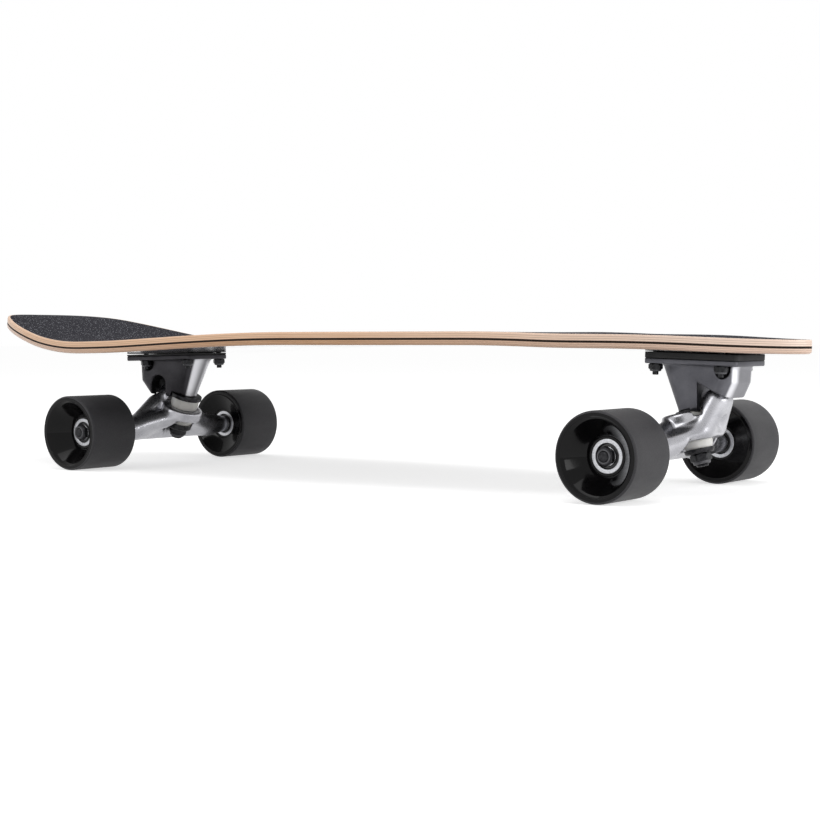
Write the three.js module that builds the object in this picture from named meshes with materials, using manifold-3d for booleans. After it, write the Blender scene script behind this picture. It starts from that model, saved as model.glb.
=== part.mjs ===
// Surf skateboard: a laminated deck on two leaning trucks, with four soft wheels on ball bearings.
// Millimetres. X runs to the nose, Y to the left and Z up. The ground is Z = 0, and the origin
// lies on it under the middle of the deck.
import Module from 'manifold-3d';
import * as THREE from 'three';
import { ConvexGeometry } from 'three/addons/geometries/ConvexGeometry.js';
import { mergeVertices } from 'three/addons/utils/BufferGeometryUtils.js';

const wasm = await Module();
wasm.setup();

// Clearance between pieces that touch, and how far a cut runs past what it cuts
const pieceGap = 0.3;
const cutOverrun = 3;

// Deck outline, measured from the point midway between the axles
const noseReach = 380;
const tailReach = 450;
const deckWidth = 246;
const widestBehindMiddle = 100;
const noseFullness = 1.6;
const noseCorner = 1.8;
const tailFullness = 2.8;
const tailCorner = 2.4;

// Deck seen from the side: flat crown, two soft drops and the kick tail with its level tip
const crownAboveAxle = 78.1;
const frontDrop = 6.5;
const frontDropStart = 140;
const frontDropEnd = 340;
const rearDrop = 8.6;
const rearDropStart = 20;
const rearDropEnd = 300;
const kickStart = 262;
const kickBend = 85;
const kickDegrees = 13;
const releaseAfter = 140;
const releaseBend = 45;
const tipDegrees = 3;

// Deck dish across its width, deeper over the trucks
const middleDish = 0.6;
const noseDish = 2.3;
const tailDish = 0.9;
const dishAt = 290;
const dishReach = 90;

// Deck layers, from the underside up
const plyThickness = 1.3;
const outerPlies = 3;
const glueLine = 0.25;
const gripThickness = 0.8;
const deckStations = 30;
const acrossShares = [-1, -0.5, 0, 0.5, 1];

// Wheels
const wheelDiameter = 66.4;
const wheelWidth = 51;
const wheelOuterFaces = 243;
const coreInboard = 5;
const lipRadius = 28.5;
const hubRadius = 13.5;
const landRadius = 9;
const wheelSides = 24;

// Ball bearings, axles and axle nuts
const bearingRadius = 11;
const bearingWidth = 7;
const bearingSpacing = 10;
const axleRadius = 4;
const outerSpeedWasherRoom = 1.2;
const innerSpeedWasherRoom = 1.5;
const axleNutAcross = 13;
const axleNutHeight = 5;
const axleEndBeyondNut = 0.6;
const roundSides = 16;

// Mounting plates: places on the deck, the axle under each, riser pad and flange
const frontPlateFromNose = 81;
const rearPlateFromTail = 195;
const frontAxleInboard = 27.5;
const rearAxleOutboard = 16.5;
const frontRiserThickness = 4;
const rearRiserThickness = 1;
const flangeThickness = 4.2;
const flangeCorner = 3;
const flangeSideEdge = 4.85;
const frontFlangeInboardEdge = 8;
const frontFlangeOutboardEdge = 5;
const rearFlangeInboardEdge = 6.5;
const rearFlangeOutboardEdge = 13;

// Bolts through deck, riser and flange, and the spare holes beyond the outboard row
const boltRowInboard = 33;
const boltRowOutboard = 21;
const spareRowBeyond = 9.5;
const boltSpread = 41.3;
const boltRadius = 2.4;
const boltHeadRadius = 4.6;
const boltHeadHeight = 3;
const boltHeadSunk = 0.2;
const boltEndBeyondNut = 2.7;
const deckNutAcross = 9.5;
const deckNutHeight = 5.5;
const nutRoom = 1.5;
const nutRoomDepth = 11;
const boltSides = 8;
const cornerSides = 4;

// Kingpin and what is stacked on it
const kingpinRadius = 5;
const kingpinHeadAcross = 14;
const kingpinHeadHeight = 6;
const kingpinNutAcross = 14.3;
const kingpinNutHeight = 8;
const kingpinEndBeyondNut = 1.5;
const upperBushingHeight = 10.95;
const upperBushingRadius = 12.8;
const upperWasherThickness = 1.6;
const frontUpperWasherRadius = 12;
const rearUpperWasherRadius = 14.5;
const lowerBushingHeight = 8.95;
const lowerBushingRadius = 11.5;
const lowerBushingEndRadius = 9.8;
const cupWasherRadius = 11.5;
const cupWasherThickness = 1.6;
const cupWasherDepth = 1.4;
const cupWallThickness = 1.4;
const stackSides = 18;

// Baseplate below the flange: the boss on the kingpin and the tower that holds the pivot cup
const frontBossRootRadius = 14;
const rearBossRootRadius = 14.5;
const bossEndRadius = 9.6;
const towerHalfWidth = 19.5;
const frontTowerCorner = 11;
const frontTowerReach = 31;
const frontTowerKneeReach = 30.4;
const frontTowerKneeLevel = 21;
const frontTowerFootReach = 24.4;
const frontTowerFootLevel = 35;
const frontArchTopOut = -2;
const frontArchTopLevel = 21.6;
const frontArchFootLevel = 41;
const frontArchFootOut = 45;
const rearTowerCorner = 9;
const rearTowerReach = 34.5;
const rearTowerKneeReach = 34;
const rearTowerKneeLevel = 24.3;
const rearTowerFootReach = 23;
const rearTowerFootLevel = 36.9;
const rearArchInner = 3;
const rearArchWidth = 15;
const rearArchTopLevel = 19.9;

// Pivot: the cup in the tower and the pin of the hanger, measured along the steering axis
const pivotPinRadius = 5.5;
const pivotPinTipRadius = 4.2;
const pivotPinStraight = 1;
const pivotPinTaper = 4;
const pivotPinTip = 5.5;
const pivotPinFoot = 6;
const pivotCupWall = 1.8;
const pivotCupMouth = 4;
const pivotCupBase = 1.6;
const neckRadius = 10.5;
const neckWaistRadius = 7.5;
const neckWaistAt = 9;
const neckShoulderRadius = 10;
const neckShoulderAt = 14;
const neckLength = 18;
const neckRoomRadius = 12.5;

// Steering geometry, measured from the axle: out towards the board's end, and up
const frontRingOut = 17.4;
const frontRingUp = 12.4;
const frontPivotOut = 42.9;
const frontPivotUp = 49.2;
const frontLeanDegrees = 15.5;
const frontSteerDegrees = 20;
const rearRingOut = -21.4;
const rearRingUp = 14.5;
const rearPivotOut = 0.9;
const rearPivotUp = 41.4;
const rearLeanDegrees = 21.5;
const rearSteerDegrees = 15;

// Hangers: axle housing, ring round the kingpin and the arms between them
const frontHousingRadius = 8.7;
const rearHousingRadius = 10.2;
const housingEndRadius = 7.5;
const housingTaperLength = 20.5;
const ringThickness = 9.5;
const ringRadius = 18.5;
const ringHoleRadius = 7.8;
const swingClearance = 0.8;
const swingSteps = 4;
const swingSides = 12;
const frontNeckAt = 13.5;
const rearNeckAt = 15;
const frontBandSpread = 32;
const frontBandRadius = 9.2;
const frontBandKneeOut = 8;
const frontBandKneeSpread = 12;
const frontBandKneeRadius = 9;
const frontBandNeckSpread = 3;
const frontBandNeckRadius = 9.5;
const frontCrownSpread = 50;
const frontCrownUp = 2;
const frontCrownRadius = 8;
const frontCrownEndSpread = 8;
const frontCrownEndOut = 3;
const frontCrownEndUp = 17.5;
const rearArmSpread = 50;
const rearArmRadius = 8.5;
const rearArmEndSpread = 10;
const rearArmEndOut = -20;
const rearArmEndUp = 11;
const rearWebSpread = 42;
const rearWebUp = 4;
const rearWebRadius = 7;
const rearWebEndSpread = 6;
const rearWebEndOut = -1;
const rearWebEndUp = 30;
const rearWebEndRadius = 8;
const rearNeckSpread = 2;
const rearNeckBarRadius = 8.7;

// Colours
const gripColour = 0x1c1c1d;
const paleMapleColour = 0xd9b78a;
const tanMapleColour = 0xc79b78;
const coreColour = 0x15130f;
const rubberColour = 0x111111;
const gunmetalColour = 0x39393c;
const castSilverColour = 0xb9bbbe;
const steelColour = 0x8f9194;
const blackSteelColour = 0x18181a;
const bushingColour = 0xe4e2dc;
const treadColour = 0x2b2b2d;
const cupColour = 0x202022;

// Sizes that follow from the ones above
const axleHeight = wheelDiameter / 2;
const crownHeight = axleHeight + crownAboveAxle;
const boardShift = (tailReach - noseReach) / 2;
const outerThickness = plyThickness * outerPlies;
const deckThickness = 2 * outerThickness + plyThickness + gripThickness + 3 * glueLine;
const wheelCentre = (wheelOuterFaces - wheelWidth) / 2;
const coreCentre = wheelCentre - coreInboard;
const bearingsOut = coreCentre + bearingSpacing / 2 + bearingWidth;
const bearingsIn = coreCentre - bearingSpacing / 2 - bearingWidth;
const axleNutEnd = bearingsOut + outerSpeedWasherRoom + axleNutHeight;
const axleLength = 2 * (axleNutEnd + axleEndBeyondNut);
const housingEndAt = bearingsIn - innerSpeedWasherRoom;
const housingTaperAt = housingEndAt - housingTaperLength;
const frontPlateAt = noseReach - frontPlateFromNose;
const rearPlateAt = tailReach - rearPlateFromTail;
const spareRowOutboard = boltRowOutboard + spareRowBeyond;
const flangeWidth = boltSpread + 2 * flangeSideEdge;
const riserTop = -pieceGap;
const ringFace = ringThickness / 2;
const upperBushingTop = ringFace + pieceGap + upperBushingHeight;
const upperWasherTop = upperBushingTop + pieceGap + upperWasherThickness;
const bossFace = upperWasherTop + pieceGap;
const lowerBushingFoot = ringFace + pieceGap + lowerBushingHeight;
const cupWasherRim = lowerBushingFoot + pieceGap - cupWasherDepth;
const cupWasherFoot = lowerBushingFoot + pieceGap + cupWasherThickness;
const kingpinNutTop = cupWasherFoot + pieceGap;
const kingpinNutFoot = kingpinNutTop + kingpinNutHeight;
const kingpinFoot = kingpinNutFoot + kingpinEndBeyondNut;
const pivotCupTop = pivotPinTip + pieceGap + pivotCupBase;
const slopeStep = plyThickness / 2;

// Shape helpers

// Joins shared corners, leaves out triangles without area and turns the faces outwards
function closedGeometry(geometry) {
  const bare = new THREE.BufferGeometry();
  bare.setAttribute('position', geometry.getAttribute('position').clone());
  bare.setIndex(geometry.getIndex());
  const welded = mergeVertices(bare);
  const corners = welded.getAttribute('position');
  const source = welded.getIndex().array;
  const kept = [];
  const [a, b, c] = [new THREE.Vector3(), new THREE.Vector3(), new THREE.Vector3()];
  let volume = 0;
  for (let i = 0; i < source.length; i += 3) {
    const [first, second, third] = source.subarray(i, i + 3);
    const hasArea = first !== second && second !== third && third !== first;
    if (hasArea) {
      kept.push(first, second, third);
      a.fromBufferAttribute(corners, first);
      b.fromBufferAttribute(corners, second);
      c.fromBufferAttribute(corners, third);
      volume += a.dot(b.cross(c));
    }
  }
  if (volume < 0) {
    kept.reverse();
  }
  welded.setIndex(kept);
  return welded;
}

function toSolid(geometry) {
  const closed = closedGeometry(geometry);
  const vertProperties = new Float32Array(closed.getAttribute('position').array);
  const triVerts = new Uint32Array(closed.getIndex().array);
  return new wasm.Manifold(new wasm.Mesh({ numProp: 3, vertProperties, triVerts }));
}

function toGeometry(solid) {
  const { vertProperties, triVerts } = solid.getMesh();
  const geometry = new THREE.BufferGeometry();
  geometry.setAttribute('position', new THREE.BufferAttribute(vertProperties, 3));
  geometry.setIndex(new THREE.BufferAttribute(triVerts, 1));
  return geometry;
}

function joined(solids) {
  return solids.reduce((whole, solid) => whole.add(solid));
}

function cut(solid, tools) {
  return tools.reduce((rest, tool) => rest.subtract(tool), solid);
}

// Turns a profile of [radius, height] pairs about the Y axis
function turned(profile, sides, start = 0) {
  const points = profile.map(([radius, height]) => new THREE.Vector2(radius, height));
  return new THREE.LatheGeometry(points, sides, start);
}

function rod(radius, from, to, sides) {
  return turned([[0, from], [radius, from], [radius, to], [0, to]], sides);
}

function ring(inner, outer, from, to, sides) {
  return turned([[inner, from], [outer, from], [outer, to], [inner, to], [inner, from]], sides);
}

// Nut or bolt head: a hexagon that runs up the Y axis, with a round hole if it has a hole radius
function hexagon(across, from, to, holeRadius = 0, holeSides = 0) {
  const shape = new THREE.Shape();
  const corner = across / Math.sqrt(3);
  for (let side = 0; side < 6; side += 1) {
    const angle = side * Math.PI / 3;
    const place = [corner * Math.cos(angle), corner * Math.sin(angle)];
    side === 0 ? shape.moveTo(...place) : shape.lineTo(...place);
  }
  if (holeRadius > 0) {
    shape.holes.push(circlePath(0, 0, holeRadius, holeSides));
  }
  const geometry = new THREE.ExtrudeGeometry(shape, { depth: to - from, bevelEnabled: false });
  return geometry.rotateX(-Math.PI / 2).translate(0, from, 0);
}

function circlePath(x, y, radius, sides) {
  const angles = Array.from({ length: sides }, (_, side) => 2 * Math.PI * side / sides);
  return new THREE.Path(angles.map((angle) => new THREE.Vector2(
    x + radius * Math.cos(angle), y + radius * Math.sin(angle))));
}

function pointsOf(geometry) {
  const corners = mergeVertices(new THREE.BufferGeometry().setAttribute(
    'position', geometry.getAttribute('position'))).getAttribute('position');
  return Array.from({ length: corners.count }, (_, i) => new THREE.Vector3().fromBufferAttribute(corners, i));
}

function ballPoints(centre, radius) {
  const ball = new THREE.IcosahedronGeometry(radius, 1).translate(centre.x, centre.y, centre.z);
  return pointsOf(ball);
}

// Round bar between two balls
function bar(from, fromRadius, to, toRadius) {
  return toSolid(new ConvexGeometry([...ballPoints(from, fromRadius), ...ballPoints(to, toRadius)]));
}

// Places a piece so that its Y axis runs along (sin lean, 0, cos lean) from the origin given
function axisMatrix(origin, lean) {
  const turn = new THREE.Euler(Math.PI / 2, lean, 0, 'YXZ');
  return new THREE.Matrix4().makeRotationFromEuler(turn).setPosition(origin);
}

function turnMatrix(origin, axis, angle) {
  const back = origin.clone().negate();
  return new THREE.Matrix4().makeTranslation(origin)
    .multiply(new THREE.Matrix4().makeRotationAxis(axis, angle))
    .multiply(new THREE.Matrix4().makeTranslation(back));
}

function namedMesh(name, geometry, color, roughness, metalness) {
  const material = new THREE.MeshStandardMaterial({ color, roughness, metalness, flatShading: true });
  const mesh = new THREE.Mesh(closedGeometry(geometry), material);
  mesh.name = name;
  return mesh;
}

// Deck surface

function smooth(share) {
  const kept = Math.min(Math.max(share, 0), 1);
  return kept * kept * (3 - 2 * kept);
}

// Area under a line that climbs from 0 to 1 over the bend and then stays at 1
function rampArea(distance, bend) {
  const past = Math.max(distance, 0);
  const bent = Math.min(past, bend);
  return bent * bent / (2 * bend) + past - bent;
}

function bump(share) {
  const kept = Math.min(Math.abs(share), 1);
  return (1 - kept * kept) ** 2;
}

function halfWidth(x) {
  const fromWidest = x + widestBehindMiddle;
  const towardsNose = fromWidest > 0;
  const reach = towardsNose ? noseReach + widestBehindMiddle : tailReach - widestBehindMiddle;
  const fullness = towardsNose ? noseFullness : tailFullness;
  const corner = towardsNose ? noseCorner : tailCorner;
  const share = Math.min(Math.abs(fromWidest) / reach, 1);
  return deckWidth / 2 * (1 - share ** fullness) ** (1 / corner);
}

// Height of the underside above the ground on the centre line
function underside(x) {
  const kick = Math.tan(THREE.MathUtils.degToRad(kickDegrees));
  const tip = Math.tan(THREE.MathUtils.degToRad(tipDegrees));
  const noseFall = frontDrop * smooth((x - frontDropStart) / (frontDropEnd - frontDropStart));
  const tailFall = rearDrop * smooth((-x - rearDropStart) / (rearDropEnd - rearDropStart));
  const climb = kick * rampArea(-x - kickStart, kickBend);
  const release = (kick - tip) * rampArea(-x - kickStart - releaseAfter, releaseBend);
  return crownHeight - noseFall - tailFall + climb - release;
}

function slope(x) {
  return (underside(x + slopeStep) - underside(x - slopeStep)) / (2 * slopeStep);
}

// Rise of the deck away from its centre line, share being the place between centre and rail
function dish(x, share) {
  const overTrucks = noseDish * bump((x - dishAt) / dishReach) + tailDish * bump((x + dishAt) / dishReach);
  const widthShare = share * halfWidth(x) / (deckWidth / 2);
  return middleDish * widthShare ** 2 + overTrucks * share ** 2;
}

function deckPoint(x, share, level) {
  const steepness = slope(x);
  const upright = 1 / Math.hypot(1, steepness);
  const height = underside(x) + dish(x, share) + level * upright;
  return [x - steepness * level * upright, share * halfWidth(x), height];
}

// One layer of the deck between two levels above its underside
function deckLayer(bottom, top) {
  const positions = [];
  const index = [];
  const columns = acrossShares.length;
  const middle = (noseReach - tailReach) / 2;
  const half = (noseReach + tailReach) / 2;
  for (const level of [bottom, top]) {
    for (let station = 0; station <= deckStations; station += 1) {
      const x = middle - half * Math.cos(Math.PI * station / deckStations);
      acrossShares.forEach((share) => positions.push(...deckPoint(x, share, level)));
    }
  }
  const corner = (level, station, column) => (level * (deckStations + 1) + station) * columns + column;
  const quad = (a, b, c, d) => index.push(a, b, c, a, c, d);
  for (let station = 0; station < deckStations; station += 1) {
    const next = station + 1;
    for (let column = 0; column < columns - 1; column += 1) {
      quad(corner(1, station, column), corner(1, next, column),
        corner(1, next, column + 1), corner(1, station, column + 1));
      quad(corner(0, station, column), corner(0, station, column + 1),
        corner(0, next, column + 1), corner(0, next, column));
    }
    const last = columns - 1;
    quad(corner(0, station, last), corner(1, station, last), corner(1, next, last), corner(0, next, last));
    quad(corner(0, next, 0), corner(1, next, 0), corner(1, station, 0), corner(0, station, 0));
  }
  const geometry = new THREE.BufferGeometry();
  geometry.setAttribute('position', new THREE.Float32BufferAttribute(positions, 3));
  geometry.setIndex(index);
  return geometry;
}

// Truck frames: origin on the deck's underside at the middle of the plate, X out, Z up

function describeTruck(truck) {
  const towards = truck.side * truck.plateAt;
  const tilt = Math.atan(truck.side * slope(towards));
  const origin = new THREE.Vector3(towards, 0, underside(towards));
  const out = truck.axleOut;
  const up = axleHeight - origin.z;
  const axle = new THREE.Vector3(out * Math.cos(tilt) + up * Math.sin(tilt), 0,
    up * Math.cos(tilt) - out * Math.sin(tilt));
  const ringCentre = axle.clone().add(new THREE.Vector3(truck.ringOut, 0, truck.ringUp));
  const pivot = axle.clone().add(new THREE.Vector3(truck.pivotOut, 0, truck.pivotUp));
  const steerAxis = pivot.clone().sub(ringCentre).normalize();
  const steerLean = Math.atan2(steerAxis.x, steerAxis.z);
  const kingpinLean = -THREE.MathUtils.degToRad(truck.leanDegrees);
  const limit = THREE.MathUtils.degToRad(truck.steerDegrees);
  const flangeTop = riserTop - truck.riserThickness - pieceGap;
  const flangeBottom = flangeTop - flangeThickness;
  return {
    ...truck, tilt, origin, axle, ringCentre, pivot, steerAxis, steerLean, kingpinLean, limit,
    flangeTop, flangeBottom,
  };
}

const frontTruck = describeTruck({
  name: 'front', side: 1, plateAt: frontPlateAt, axleOut: -frontAxleInboard,
  riserThickness: frontRiserThickness, inboardEdge: frontFlangeInboardEdge,
  outboardEdge: frontFlangeOutboardEdge, ringOut: frontRingOut, ringUp: frontRingUp,
  pivotOut: frontPivotOut, pivotUp: frontPivotUp, leanDegrees: frontLeanDegrees,
  steerDegrees: frontSteerDegrees, upperWasherRadius: frontUpperWasherRadius,
  bossRootRadius: frontBossRootRadius, housingRadius: frontHousingRadius,
});
const rearTruck = describeTruck({
  name: 'rear', side: -1, plateAt: rearPlateAt, axleOut: rearAxleOutboard,
  riserThickness: rearRiserThickness, inboardEdge: rearFlangeInboardEdge,
  outboardEdge: rearFlangeOutboardEdge, ringOut: rearRingOut, ringUp: rearRingUp,
  pivotOut: rearPivotOut, pivotUp: rearPivotUp, leanDegrees: rearLeanDegrees,
  steerDegrees: rearSteerDegrees, upperWasherRadius: rearUpperWasherRadius,
  bossRootRadius: rearBossRootRadius, housingRadius: rearHousingRadius,
});

function truckGroup(truck) {
  const group = new THREE.Group();
  group.position.copy(truck.origin);
  group.rotation.set(0, -truck.tilt, truck.side > 0 ? 0 : Math.PI, 'ZYX');
  group.updateMatrix();
  return group;
}

function boltPlaces() {
  const rows = [-boltRowInboard, boltRowOutboard];
  return rows.flatMap((x) => [boltSpread / 2, -boltSpread / 2].map((y) => new THREE.Vector2(x, y)));
}

function sparePlaces() {
  return [boltSpread / 2, -boltSpread / 2].map((y) => new THREE.Vector2(spareRowOutboard, y));
}

// Level of the deck's top over a bolt, in the truck's frame
function deckTopOver(truck, place) {
  const x = truck.origin.x + truck.side * place.x * Math.cos(truck.tilt);
  const rise = underside(x) + dish(x, place.y / halfWidth(x)) - truck.origin.z;
  return (rise - place.x * Math.sin(truck.tilt)) * Math.cos(truck.tilt) + deckThickness;
}

// Distance up the kingpin from the ring's centre to a level of the truck's frame
function upKingpin(truck, level) {
  return (level - truck.ringCentre.z) / Math.cos(truck.kingpinLean);
}

// Deck pieces

// Bolt holes through the deck, each with its countersink
function deckHoleTools() {
  const hole = boltRadius + pieceGap;
  const sunk = boltHeadRadius + pieceGap;
  return [frontTruck, rearTruck].flatMap((truck) => boltPlaces().map((place) => {
    const top = deckTopOver(truck, place);
    const profile = [[0, -cutOverrun], [hole, -cutOverrun], [hole, top - boltHeadHeight],
      [sunk, top], [sunk, top + cutOverrun], [0, top + cutOverrun]];
    const tool = turned(profile, boltSides).rotateX(Math.PI / 2).translate(place.x, place.y, 0);
    return toSolid(tool.applyMatrix4(truckGroup(truck).matrix));
  }));
}

function makeDeck() {
  const holes = deckHoleTools();
  const layer = (name, bottom, top, color, roughness) => {
    const solid = cut(toSolid(deckLayer(bottom, top)), holes);
    return namedMesh(name, toGeometry(solid), color, roughness, 0);
  };
  const coreBottom = outerThickness + glueLine;
  const upperBottom = coreBottom + plyThickness + glueLine;
  const gripBottom = upperBottom + outerThickness + glueLine;
  return [
    layer('deck_bottom_plies', 0, outerThickness, tanMapleColour, 0.35),
    layer('deck_core_ply', coreBottom, coreBottom + plyThickness, coreColour, 0.6),
    layer('deck_top_plies', upperBottom, upperBottom + outerThickness, paleMapleColour, 0.4),
    layer('grip_tape', gripBottom, gripBottom + gripThickness, gripColour, 0.95),
  ];
}

// Mounting plate pieces

function plateOutline(truck) {
  const inboard = flangeCorner - boltRowInboard - truck.inboardEdge;
  const outboard = spareRowOutboard + truck.outboardEdge - flangeCorner;
  const y = flangeWidth / 2 - flangeCorner;
  const shape = new THREE.Shape();
  shape.absarc(outboard, y, flangeCorner, 0, Math.PI / 2);
  shape.absarc(inboard, y, flangeCorner, Math.PI / 2, Math.PI);
  shape.absarc(inboard, -y, flangeCorner, Math.PI, 3 * Math.PI / 2);
  shape.absarc(outboard, -y, flangeCorner, 3 * Math.PI / 2, 2 * Math.PI);
  for (const place of [...boltPlaces(), ...sparePlaces()]) {
    shape.holes.push(circlePath(place.x, place.y, boltRadius + pieceGap, boltSides));
  }
  return shape;
}

function plate(truck, bottom, top) {
  const options = { depth: top - bottom, bevelEnabled: false, curveSegments: cornerSides / 2 };
  return new THREE.ExtrudeGeometry(plateOutline(truck), options).translate(0, 0, bottom);
}

function makeRiser(truck) {
  const pad = plate(truck, riserTop - truck.riserThickness, riserTop);
  return namedMesh(`${truck.name}_riser_pad`, pad, rubberColour, 0.8, 0);
}

function discPoints(centre, lean, radius) {
  const points = [];
  for (let side = 0; side < roundSides; side += 1) {
    const angle = 2 * Math.PI * side / roundSides;
    points.push(new THREE.Vector3(radius * Math.cos(angle), 0, radius * Math.sin(angle)));
  }
  return points.map((point) => point.applyMatrix4(axisMatrix(centre, lean)));
}

// Boss round the kingpin and tower round the pivot cup, as one tapering block with some growth
function pedestal(truck, growth) {
  const root = truck.flangeBottom + flangeThickness / 2;
  const along = (distance) => new THREE.Vector3(0, distance, 0)
    .applyMatrix4(axisMatrix(truck.ringCentre, truck.kingpinLean));
  const bossRoot = discPoints(along(upKingpin(truck, root)), 0, truck.bossRootRadius + growth);
  const bossEnd = discPoints(along(bossFace - growth), truck.kingpinLean, bossEndRadius + growth);
  const corners = (reach, level) => {
    const corner = truck === frontTruck ? frontTowerCorner : rearTowerCorner;
    const spread = towerHalfWidth - corner;
    const centres = [spread, -spread].map((y) => new THREE.Vector3(reach - corner, y, level));
    return centres.flatMap((centre) => discPoints(centre, 0, corner + growth));
  };
  const tower = truck === frontTruck
    ? [corners(frontTowerReach, root), corners(frontTowerKneeReach, -frontTowerKneeLevel),
      corners(frontTowerFootReach, -frontTowerFootLevel - growth)]
    : [corners(rearTowerReach, root), corners(rearTowerKneeReach, -rearTowerKneeLevel),
      corners(rearTowerFootReach, -rearTowerFootLevel - growth)];
  return toSolid(new ConvexGeometry([...bossRoot, ...bossEnd, ...tower.flat()]));
}

// A side outline in X and Z, run through the whole width
function throughWidth(shape, curveSegments) {
  const depth = flangeWidth + 2 * cutOverrun;
  const geometry = new THREE.ExtrudeGeometry(shape, { depth, bevelEnabled: false, curveSegments });
  return toSolid(geometry.rotateX(Math.PI / 2).translate(0, depth / 2, 0));
}

// Room between boss and tower where the hanger's neck swings, drawn in by an inset
function archTool(truck, inset) {
  const below = truck.axle.z;
  const shape = new THREE.Shape();
  if (truck === frontTruck) {
    const edge = new THREE.Vector3(bossEndRadius, bossFace, 0)
      .applyMatrix4(axisMatrix(truck.ringCentre, truck.kingpinLean));
    shape.moveTo(edge.x + inset, below);
    shape.lineTo(edge.x + inset, edge.z);
    shape.lineTo(frontArchTopOut + inset, -frontArchTopLevel - inset);
    shape.lineTo(frontArchFootOut, -frontArchFootLevel - inset);
    shape.lineTo(frontArchFootOut, below);
  } else {
    const middle = rearArchInner + rearArchWidth / 2;
    const radius = rearArchWidth / 2 - inset;
    const spring = -rearArchTopLevel - rearArchWidth / 2;
    shape.moveTo(middle - radius, below);
    shape.lineTo(middle - radius, spring);
    shape.absarc(middle, spring, radius, Math.PI, 0, true);
    shape.lineTo(middle + radius, below);
  }
  return throughWidth(shape, boltSides / 2);
}

function makeBaseplate(truck) {
  const { flangeTop, flangeBottom } = truck;
  const kingpin = axisMatrix(truck.ringCentre, truck.kingpinLean);
  const steering = axisMatrix(truck.pivot, truck.steerLean);
  const flangeAt = upKingpin(truck, flangeTop);
  const headFoot = kingpinHead(truck).bottom - pieceGap;
  const headRoom = kingpinHeadAcross / Math.sqrt(3) + 2 * pieceGap;
  const nutRoomRadius = deckNutAcross / Math.sqrt(3) + nutRoom;
  const cupRadius = pivotPinRadius + pieceGap + pivotCupWall + pieceGap;
  const washerRoom = truck.upperWasherRadius + swingClearance;
  const tools = [
    archTool(truck, 0),
    toSolid(rod(kingpinRadius + pieceGap, 0, flangeAt + cutOverrun, stackSides).applyMatrix4(kingpin)),
    toSolid(rod(headRoom, headFoot, flangeAt + 2 * cutOverrun, stackSides).applyMatrix4(kingpin)),
    toSolid(rod(washerRoom, -kingpinFoot, bossFace, stackSides).applyMatrix4(kingpin)),
    toSolid(rod(neckRoomRadius, -neckLength, -pivotCupMouth, stackSides).applyMatrix4(steering)),
    toSolid(rod(cupRadius, -pivotCupMouth - cutOverrun, pivotCupTop + pieceGap, stackSides)
      .applyMatrix4(steering)),
  ];
  for (const place of boltPlaces()) {
    const room = rod(nutRoomRadius, -nutRoomDepth, flangeThickness, stackSides).rotateX(Math.PI / 2);
    tools.push(toSolid(room.translate(place.x, place.y, flangeBottom)));
  }
  for (const place of sparePlaces()) {
    const room = rod(boltRadius + pieceGap, -nutRoomDepth, flangeThickness, boltSides).rotateX(Math.PI / 2);
    tools.push(toSolid(room.translate(place.x, place.y, flangeBottom)));
  }
  const block = cut(pedestal(truck, 0), tools);
  const flange = cut(toSolid(plate(truck, flangeBottom, flangeTop)), tools.slice(1, 3));
  return namedMesh(`${truck.name}_baseplate`, toGeometry(flange.add(block)), gunmetalColour, 0.45, 0.7);
}

function makePivotCup(truck) {
  const outer = pivotPinRadius + pieceGap + pivotCupWall;
  const profile = [[0, pivotCupTop], [outer, pivotCupTop], [outer, -pivotCupMouth],
    [pivotPinRadius + pieceGap, -pivotCupMouth], [pivotPinRadius + pieceGap, pivotPinStraight + pieceGap],
    [pivotPinTipRadius + pieceGap, pivotPinTaper + pieceGap], [0, pivotPinTip + pieceGap]];
  const mesh = namedMesh(`${truck.name}_pivot_cup`, turned(profile, roundSides), cupColour, 0.6, 0);
  mesh.applyMatrix4(axisMatrix(truck.pivot, truck.steerLean));
  return mesh;
}

function makeDeckFasteners(truck) {
  return boltPlaces().flatMap((place, number) => {
    const top = deckTopOver(truck, place) - boltHeadSunk;
    const nutTop = truck.flangeBottom - pieceGap;
    const nutBottom = nutTop - deckNutHeight;
    const foot = nutBottom - boltEndBeyondNut;
    const profile = [[0, foot], [boltRadius, foot], [boltRadius, top - boltHeadHeight],
      [boltHeadRadius, top], [0, top]];
    const bolt = namedMesh(`${truck.name}_deck_bolt_${number + 1}`, turned(profile, boltSides),
      blackSteelColour, 0.4, 0.9);
    const nut = namedMesh(`${truck.name}_deck_nut_${number + 1}`,
      hexagon(deckNutAcross, nutBottom, nutTop, boltRadius + pieceGap, boltSides),
      blackSteelColour, 0.35, 0.9);
    for (const mesh of [bolt, nut]) {
      mesh.position.set(place.x, place.y, 0);
      mesh.rotation.x = Math.PI / 2;
    }
    return [bolt, nut];
  });
}

// Pieces on the kingpin, at their distance up the kingpin from the ring's centre

// The head stands in the flange, its highest corner just under the flange's top
function kingpinHead(truck) {
  const corner = kingpinHeadAcross / Math.sqrt(3);
  const top = upKingpin(truck, truck.flangeTop) - corner * Math.tan(-truck.kingpinLean) - pieceGap;
  return { top, bottom: top - kingpinHeadHeight };
}

function makeKingpin(truck) {
  const head = kingpinHead(truck);
  const shank = toSolid(rod(kingpinRadius, -kingpinFoot, head.top - kingpinRadius, roundSides));
  const hex = toSolid(hexagon(kingpinHeadAcross, head.bottom, head.top));
  return namedMesh(`${truck.name}_kingpin`, toGeometry(shank.add(hex)), blackSteelColour, 0.35, 0.9);
}

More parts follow.
